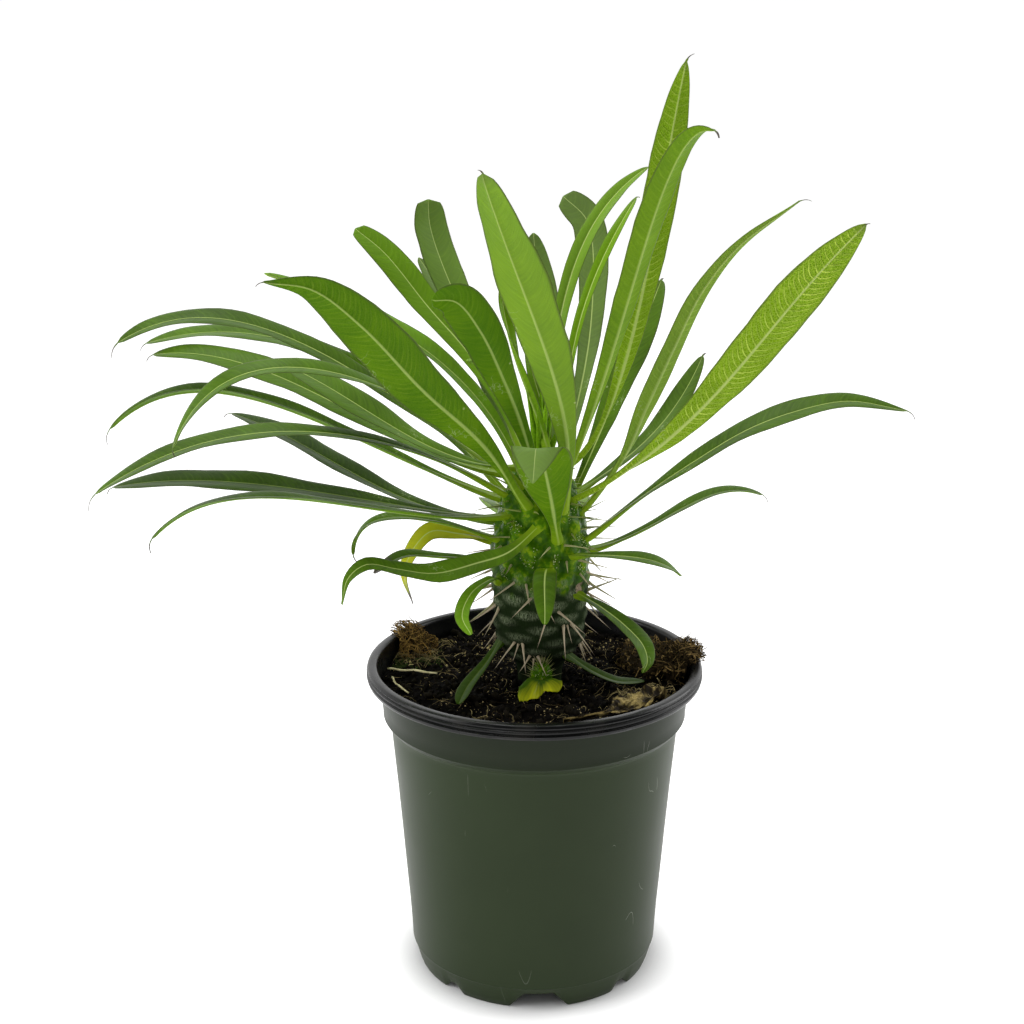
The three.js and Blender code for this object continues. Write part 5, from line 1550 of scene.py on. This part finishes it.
def leaf_rows(leaf, count):
    """The cross-sections of a leaf: a dict of place, frame, half width and so on for each row."""
    line, azimuth, tip_azimuth = midrib(leaf)
    facing = KNOBS[leaf["knob"]][1]
    length = sum((b - a).length for a, b in zip(line, line[1:]))
    shares = [i / count - 0.075 * math.sin(2 * math.pi * i / count) for i in range(count + 1)]
    roll = math.radians(leaf.get("roll", 0))
    rows = []
    for u, (place, along) in zip(shares, spread(line, shares)):
        along = facing if u == 0 else along
        angle = mix(azimuth, tip_azimuth, u)
        level = Vector((-math.sin(angle), math.cos(angle), 0))
        level = (level - along * level.dot(along)).normalized()
        across = level.copy()
        across.rotate(Quaternion(along, roll * ease(u, 0, 0.35)))
        swell = 1 + 0.5 * math.exp(-u * length / 7)
        half = swell * leaf_width(u, leaf) / 2
        rows.append({
            "u": u, "place": place, "along": along, "across": across, "half": half,
            "lift": math.radians(leaf["fold"]) * ease(u, 0.03, 0.3), "mm": u * length,
        })
    first = dict(rows[0], place=rows[0]["place"] - facing * 2.5, mm=-2.5)
    rows.insert(0, first)
    hook = leaf.get("hook", 0)
    steps = 7
    for step in range(1, steps + 1 if hook else 1):
        last = rows[-1]
        along = last["along"].copy()
        along.rotate(Quaternion(level, math.radians(HOOK_BEND / steps)))
        across = level.lerp(last["across"], 0.4).normalized()
        rows.append(dict(
            last, u=1, place=last["place"] + along * hook / steps, along=along, across=across,
            half=mix(0.75, 0.34, step / steps), lift=0, mm=last["mm"] + hook / steps,
        ))
    return rows


def leaf_piece(leaf, settings, finish):
    """One leaf: a closed blade swept along its midrib, with a rib and a rounded petiole."""
    knob_number = leaf["knob"]
    rows = leaf_rows(leaf, settings.rows)
    blade = settings.blade_thickness / MM
    keel = settings.rib_height / MM
    tip_at = rows[-1]["mm"]
    outer = [(-s, False) for s in BLADE_STEPS] + [(-t, True) for t in RIB_STEPS]
    top = outer + [(s, False) for s in reversed(BLADE_STEPS)]
    bottom = [column for column in reversed(top) if column[0] not in (-1, 1) or column[1]]
    ring = [(*column, 0) for column in top] + [(*column, 1) for column in bottom]
    bm = bmesh.new()
    bmesh.ops.create_grid(bm, x_segments=len(rows) - 1, y_segments=len(ring), size=1)
    spot = bm.verts.layers.float_vector.new("place")
    state = bm.verts.layers.float_vector.new("state")
    margin = bm.verts.layers.float.new("margin")
    veined = bm.verts.layers.float.new("veined")
    bloom_and_sheen = bm.verts.layers.float.new("bloom_and_sheen")
    phase = 6.3 * draw(knob_number * 3.3)
    dead = leaf.get("dead", 0.6 * leaf["hook"] if "hook" in leaf else -9)
    for vert in bm.verts:
        row = rows[round((vert.co.x + 1) / 2 * (len(rows) - 1))]
        share, on_rib, beneath = ring[round((vert.co.y + 1) / 2 * len(ring)) % len(ring)]
        half, u, mm = row["half"], row["u"], row["mm"]
        rib_half = min(mix(1.5, 0.45, u), half * 0.3)
        side = share * rib_half if on_rib else share * half
        part = abs(side) / half
        thin = ease(u, 0, 0.2)
        wave = 0.05 * half * part * part * thin * math.sin(mm / 7.5 + phase + (side > 0) * 1.9)
        if not on_rib:
            side *= 1 + 0.05 * thin * rough(mm, phase * 30, 40 * (side > 0), 9)
        shelf = part - 0.18 * part**3
        height = math.sin(row["lift"]) * half * shelf + wave
        height -= 0.035 * half * ease(part, 0.8, 1) * thin
        groove = 0.3 * thin * (1 - 0.6 * u) * math.exp(-((side / 0.75) ** 2)) * min(half / 4, 1)
        if beneath:
            round_off = math.sqrt(max(1 - part * part, 0))
            depth = mix(PETIOLE_DEPTH * round_off, blade * (1 - 0.5 * part * part), thin)
            edge = clamp(abs(side) / rib_half)
            height -= depth * min(1, half / 1.2)
            crown = math.sqrt(max(1 - edge * edge, 0))
            height -= keel * thin * (1 - 0.75 * u) * crown * min(1, half / 2)
        else:
            height -= groove
        normal = row["along"].cross(row["across"])
        across = row["across"] * side * math.cos(row["lift"])
        vert.co = row["place"] + across + normal * height
        vert[spot] = (max(mm, 0), side, clamp(abs(side) / rib_half, 0, 3))
        edge_on = part > 0.999
        shade = leaf.get("tone", 0.5)
        if not beneath:
            shade = leaf.get("top", shade)
        vert[state] = (0.5 if edge_on else beneath, tip_at - mm - dead, shade)
        vert[margin] = part if half > 1.2 else 0.5
        vert[veined] = leaf.get("veined", 0.2)
        vert[bloom_and_sheen] = leaf.get("bloom_and_sheen", 0) * (not beneath or "top" not in leaf)
    bmesh.ops.remove_doubles(bm, verts=bm.verts, dist=0.0001)
    bmesh.ops.holes_fill(bm, edges=[edge for edge in bm.edges if edge.is_boundary], sides=0)
    bmesh.ops.recalc_face_normals(bm, faces=bm.faces)
    BLADE_TREES.append(BVHTree.FromBMesh(bm))
    name = f"leaf_{knob_number:02d}"
    return finished(bm, f"{name}_blade", [finish], [name])


class PALM_OT_leaves(Operator):
    """Grows every leaf from its knob, with the finish of its age"""

    bl_idname = "palm.leaves"
    bl_label = "Leaves"

    def execute(self, context):
        settings = context.scene.palm_leaves
        grown = leaf_finish(
            "leaf_mature", settings, (settings.upper, settings.upper_bright),
            (settings.under, settings.under_bright),
        )
        young = leaf_finish(
            "leaf_young", settings, ([c * 0.7 for c in settings.young], settings.young),
            ([c * 0.8 for c in settings.young], [c * 1.15 for c in settings.young]),
        )
        yellow = leaf_finish(
            "leaf_yellowed", settings, ([c * 0.75 for c in settings.yellowed], settings.yellowed),
            ([c * 0.7 for c in settings.yellowed], settings.yellowed), spotted=1.0,
        )
        for leaf in YOUNG_LEAVES:
            leaf_piece(leaf, settings, young)
        for leaf in (*UPRIGHT_LEAVES, *RIGHT_LEAVES, *LEFT_LEAVES, *LOW_LEAVES):
            leaf_piece(leaf, settings, grown)
        for leaf in YELLOWED_LEAVES:
            leaf_piece(leaf, settings, yellow)
        return {"FINISHED"}


# ---- Stem, spines, spears and offset --------------------------------------------------------


def spine_path(root, direction, length, radius, sag):
    """A spine from its swollen root to its point, bent a little by `sag`."""
    path = []
    rows = 7
    for i in range(rows + 1):
        t = max(i - 1, 0) / (rows - 1)
        place = root + direction * length * t + Vector((0, 0, sag * t * t))
        width = radius * (1 + 0.7 * math.exp(-t * 10)) * (1 - t) ** 0.85
        path.append((place, 0 if i in (0, rows) else width))
    return path


def has_room(root, direction, length):
    """True if a spine would meet no leaf on its way out."""
    start = root + direction * 3.2
    return all(tree.ray_cast(start, direction, length - 2.6)[0] is None for tree in BLADE_TREES)


class PALM_OT_stem(Operator):
    """Turns the swollen stem, raises its knobs and ridges, and grows its spines, the tuft of
    rolled young leaves and the spiny offset at its foot"""

    bl_idname = "palm.stem"
    bl_label = "Stem and spines"

    def execute(self, context):
        settings = context.scene.palm_stem
        self.skin(settings)
        self.spines(settings)
        self.spears(context.scene.palm_leaves)
        self.offset(settings)
        return {"FINISHED"}

    @staticmethod
    def skin(settings):
        """The swollen stem with its knobs, wrinkles and one corky scar."""
        height = settings.knob_height / MM
        outline = [
            (place.x, place.z)
            for place, _ in spread(STEM_LINE, [i / 200 for i in range(201)])
        ]
        bm = turned([(0, STEM_OUTLINE[0][1]), *outline[:-1], (0, STEM_TOP_Z)], 220)
        age = bm.verts.layers.float.new("age")
        rise = bm.verts.layers.float.new("lift")
        scar = bm.verts.layers.float.new("scar")
        scar_place = Vector((22.5, -14, 189))
        for vert in bm.verts:
            vert.co.x += STEM_X
            point = vert.co.copy()
            outward = Vector((point.x - STEM_X, point.y, 0))
            vert[age] = ease(point.z, 236, 158)
            old = ease(point.z, 205, 180)
            if outward.length < 0.01 or point.z < SOIL_Z + 4:
                continue
            lift = knob_lift(point, height)
            # The lift also paints the knob tops paler and the hollows darker in the finish: partly
            # the skin's own colour, partly painted highlight and shade.
            vert[rise] = lift / height
            lift *= mix(1, 0.6, old)
            buried = ease(point.z, SOIL_Z + 4, SOIL_Z + 12) * ease(point.z, 249, 243)
            wrinkle = (0.5 * rough(point.x, point.y, point.z * 2.4, 4) - 0.5) * old
            pimple = 0.14 * rough(point.x, point.y, point.z, 1.3) * (1 - 0.5 * old)
            vert[scar] = clamp(1 - (point - scar_place).length / 8)
            dent = -1.4 * ease(vert[scar], 0.4, 0.6)
            vert.co += outward.normalized() * ((lift + wrinkle + dent) * buried + pimple)
        finished(bm, "stem_skin", [stem_finish(settings)], ["stem"])

    @staticmethod
    def spines(settings):
        """A pair under each second knob, where no leaf stands in the way, and a few short ones."""
        grown, young = settings.spine_length / MM, settings.young_spine_length / MM
        radius = settings.spine_radius / MM
        paths, tones = [], []
        for n in range(FIRST_SPINY_KNOB, KNOB_COUNT):
            azimuth, facing, place = KNOBS[n]
            across = heading(azimuth + math.pi / 2, 0)
            droop = mix(YOUNG_SPINE_RISE, OLD_SPINE_RISE, n / KNOB_COUNT)
            share = 1 if n % 2 == 0 else mix(0.45, 0.75, draw(n * 2.9))
            if place.z < 161 or n > 40 and (n % 2 or draw(n * 6.3) > 0.9):
                continue
            share *= mix(0.5, 1, ease(place.z, 161, 172))
            for side in (-1, 1):
                apart = SPINE_SPREAD + 10 * (draw(n * 4 + side) - 0.5)
                turn = azimuth + side * math.radians(apart)
                rise = math.radians(droop + 24 * (draw(n * 9 + side) - 0.5))
                direction = heading(turn, rise)
                length = share * mix(young, grown, ease(n, FIRST_SPINY_KNOB, 30))
                length *= mix(0.85, 1.15, draw(n * 5 + side))
                root = place + across * side * 1.8 + Vector((0, 0, -2.6)) - facing
                if has_room(root, direction, length + 2):
                    sag = mix(-2.2, 1.6, draw(n * 6 + side))
                    width = radius * mix(0.75, 1.1, share)
                    paths.append(spine_path(root, direction, length + 2, width, sag))
                    tones.append(ease(n, 20, 62))
            if draw(n * 7.1) > 0.45 and n > 16:
                turn = azimuth + 0.5 * (draw(n * 8.1) - 0.5)
                direction = heading(turn, math.radians(droop - 12))
                root = place + Vector((0, 0, -3.4)) - facing * 0.5
                if has_room(root, direction, 9):
                    length = mix(6, 10, draw(n * 3.9))
                    paths.append(spine_path(root, direction, length, radius * 0.7, 0))
                    tones.append(ease(n, 20, 62))
        for z, turn, rise, length in SIDE_SPINES:
            radius_here, _ = stem_at(z)
            outward = heading(math.radians(turn), 0)
            root = Vector((STEM_X, 0, z)) + outward * (radius_here - 0.5)
            direction = heading(math.radians(turn), math.radians(rise))
            if has_room(root, direction, length):
                paths.append(spine_path(root, direction, length, radius * 1.35, 0.6))
                tones.append(0.5)
        finished(strands(paths, 8, tones), "spines", [spine_finish(settings)])

    @staticmethod
    def spears(settings):
        """The rolled young leaves on the growing tip."""
        count = 9
        paths, tones = [], []
        for i in range(count):
            share = i / (count - 1)
            angle = math.radians(FIRST_KNOB_ANGLE + 70 - GOLDEN_ANGLE * i)
            direction = heading(angle, math.radians(mix(88, 66, share)))
            root = Vector((STEM_X, 0, STEM_TOP_Z - 6)) + heading(angle, 0) * 2.5 * share
            length = mix(41, 21, share)
            path = []
            for row in range(15):
                t = max(row - 1, 0) / 13
                width = 1.5 * (1 - t) ** 0.6 * (0.85 + 0.5 * math.sin(math.pi * clamp(t * 1.2)))
                bow = heading(angle, 0) * (1.5 * t * t)
                end = row in (0, 14)
                path.append((root + direction * length * t + bow, 0 if end else width))
            paths.append(path)
            tones.append(mix(0.9, 0.45, share))
        finish = litter_finish(
            "leaf_rolled", tint(c * 0.45 for c in settings.young),
            tint(min(c * 1.5, 1) for c in settings.young), 0.4,
        )
        finished(strands(paths, 10, tones), "young_spears", [finish])

    @staticmethod
    def offset(settings):
        """The small spiny bud that grows beside the foot of the stem."""
        foot = Vector((3, -16.5, 142.3))
        outline = smooth_through(
            [(0, 0, 0), (3.4, 0, 0.4), (4.8, 0, 4), (4.9, 0, 8), (3.2, 0, 12), (0, 0, 14.3)], 6,
        )
        bm = turned([(max(point.x, 0), point.z) for point in outline[:-1]] + [(0, 14.3)], 40)
        age = bm.verts.layers.float.new("age")
        rise = bm.verts.layers.float.new("lift")
        for vert in bm.verts:
            lump = 0.55 * max(0, rough(*(vert.co + Vector((9, 9, 9))), 1.9))
            if vert.co.xy.length > 0.01:
                vert.co += Vector((vert.co.x, vert.co.y, 0)).normalized() * lump
            vert[age] = 0.1
            # The lift paints the bud's lumps paler, as on the stem's knob tops: partly their own
            # colour, partly painted highlight.
            vert[rise] = 0.45 + lump
            vert.co += foot
        finished(bm, "offset_bud", [stem_finish(settings)])
        paths, tones = [], []
        for i in range(84):
            rise = mix(-5, 76, i / 83)
            direction = heading(math.radians(180 + GOLDEN_ANGLE * i), math.radians(rise))
            root = foot + Vector((0, 0, mix(3.5, 12.5, i / 83))) + direction * 2
            length = mix(4.5, 9, draw(i * 3.1))
            paths.append(spine_path(root, direction, length, 0.3, 0.6))
            tones.append(0.1 + 0.5 * draw(i))
        finished(strands(paths, 5, tones), "offset_spines", [spine_finish(settings)])


# ---- Camera and stage -----------------------------------------------------------------------


class PALM_OT_camera(Operator):
    """Sets the camera in front of the palm, a little above it and looking down"""

    bl_idname = "palm.camera"
    bl_label = "Camera"

    def execute(self, context):
        data = bpy.data.cameras.new("camera")
        data.sensor_width = 36
        data.lens = context.scene.palm_stage.lens
        camera = bpy.data.objects.new("camera", data)
        context.scene.collection.objects.link(camera)
        camera.location = POT_AXIS + Vector(CAMERA_PLACE) * MM
        camera.rotation_euler = (math.radians(CAMERA_TILT), 0, 0)
        context.scene.camera = camera
        return {"FINISHED"}


class PALM_OT_stage(Operator):
    """Lays a plain pale floor and sets soft white light round the palm"""

    bl_idname = "palm.stage"
    bl_label = "Floor and light"

    def execute(self, context):
        scene = context.scene
        scene.view_settings.view_transform = "Standard"
        self.floor(scene)
        self.surround(scene)
        self.lights(scene)
        return {"FINISHED"}

    @staticmethod
    def floor(scene):
        """A wide sheet of pale paper, lit through from below, with a painted shadow round the
        pot's foot.
        """
        settings = scene.palm_stage
        bm = bmesh.new()
        bmesh.ops.create_circle(bm, cap_ends=True, segments=96, radius=60)
        mesh = bpy.data.meshes.new("floor")
        bm.to_mesh(mesh)
        bm.free()
        floor = bpy.data.objects.new("floor", mesh)
        floor.location.z = -0.0002
        scene.collection.objects.link(floor)
        finish, tree, shader = new_finish(
            "paper_matt_glow_painted_shadow",
            {"Base Color": tint(settings.floor), "Roughness": 0.9, "Specular IOR Level": 0,
             "Emission Color": (1, 1, 1, 1)},
        )
        # The glow fades to nothing between 74 mm and 48 mm from the pot's axis: a painted shadow
        # on the floor round the pot's foot.
        place = add(tree, "TexCoord")["Object"]
        away = add(tree, "VectorMath", {0: place, 1: POT_AXIS}, operation="DISTANCE")["Value"]
        glow_and_painted_shadow = add(
            tree, "MapRange", {0: away, 1: 0.048, 2: 0.074, 3: 0, 4: settings.floor_glow},
            interpolation_type="SMOOTHSTEP",
        )[0]
        feed(tree, shader, {"Emission Strength": glow_and_painted_shadow})
        mesh.materials.append(finish)

    @staticmethod
    def surround(scene):
        """White light from all round, with more for gloss to mirror behind than in front."""
        settings = scene.palm_stage
        world = bpy.data.worlds.new("surround")
        world.use_nodes = True
        tree = world.node_tree
        background = tree.nodes["Background"]
        # Gloss mirrors a white wall behind the palm and an unlit room in front of it.
        toward = add(tree, "TexCoord")["Generated"]
        depth = add(tree, "SeparateXYZ", {0: toward})[1]
        wall = add(
            tree, "MapRange", {0: depth, 1: -0.26, 2: 0.44, 3: settings.room, 4: settings.wall},
        )[0]
        path = add(tree, "LightPath")
        lit = add(tree, "Mix", {0: path["Is Glossy Ray"], 2: settings.surround, 3: wall})[0]
        # Seen directly, the surround is as white as the floor.
        seen = add(tree, "Mix", {0: path["Is Camera Ray"], 2: lit, 3: 1.0})[0]
        feed(tree, background, {"Color": (1, 1, 1, 1), "Strength": seen})
        scene.world = world

    @staticmethod
    def lights(scene):
        """Three large softboxes: left, right and above."""
        settings = scene.palm_stage
        for name, place, size, power in (
            ("softbox_left", (-1.25, -0.35, 0.95), 0.9, settings.softbox),
            ("softbox_right", (1.2, 0.35, 0.75), 0.8, settings.softbox * 0.6),
            ("top_light", (-0.2, 0.3, 1.6), 0.8, settings.softbox * 0.9),
        ):
            data = bpy.data.lights.new(name, "AREA")
            data.size = size
            data.energy = power
            light = bpy.data.objects.new(name, data)
            light.location = place
            aim = Vector((0, 0, 0.22)) - light.location
            light.rotation_euler = aim.to_track_quat("-Z", "Y").to_euler()
            scene.collection.objects.link(light)


# ---- Panel and registration -----------------------------------------------------------------

STEPS = (
    PALM_OT_camera, PALM_OT_stage, PALM_OT_pot, PALM_OT_peat, PALM_OT_leaves, PALM_OT_stem,
    PALM_OT_litter,
)
SETTINGS = {
    "palm_pot": PalmPotSettings,
    "palm_peat": PalmPeatSettings,
    "palm_stem": PalmStemSettings,
    "palm_leaves": PalmLeafSettings,
    "palm_stage": PalmStageSettings,
}


class PALM_PT_panel(Panel):
    """Lists the steps that build the palm, in their order, and its settings"""

    bl_idname = "PALM_PT_panel"
    bl_label = "Madagascar Palm"
    bl_space_type = "VIEW_3D"
    bl_region_type = "UI"
    bl_category = "Palm"

    def draw(self, context):
        for step in STEPS:
            self.layout.operator(step.bl_idname, text=step.bl_label)
        for name, group in SETTINGS.items():
            box = self.layout.box()
            box.label(text=group.__doc__)
            for prop in group.__annotations__:
                box.prop(getattr(context.scene, name), prop)


def register():
    for group in SETTINGS.values():
        bpy.utils.register_class(group)
    for cls in (*STEPS, PALM_PT_panel):
        bpy.utils.register_class(cls)
    for name, group in SETTINGS.items():
        setattr(bpy.types.Scene, name, PointerProperty(type=group))


def unregister():
    for name in SETTINGS:
        delattr(bpy.types.Scene, name)
    for cls in (PALM_PT_panel, *STEPS, *SETTINGS.values()):
        bpy.utils.unregister_class(cls)


def main():
    """Builds the palm step by step."""
    register()
    for step in STEPS:
        group, name = step.bl_idname.split(".")
        getattr(getattr(bpy.ops, group), name)()


if __name__ == "__main__":
    main()
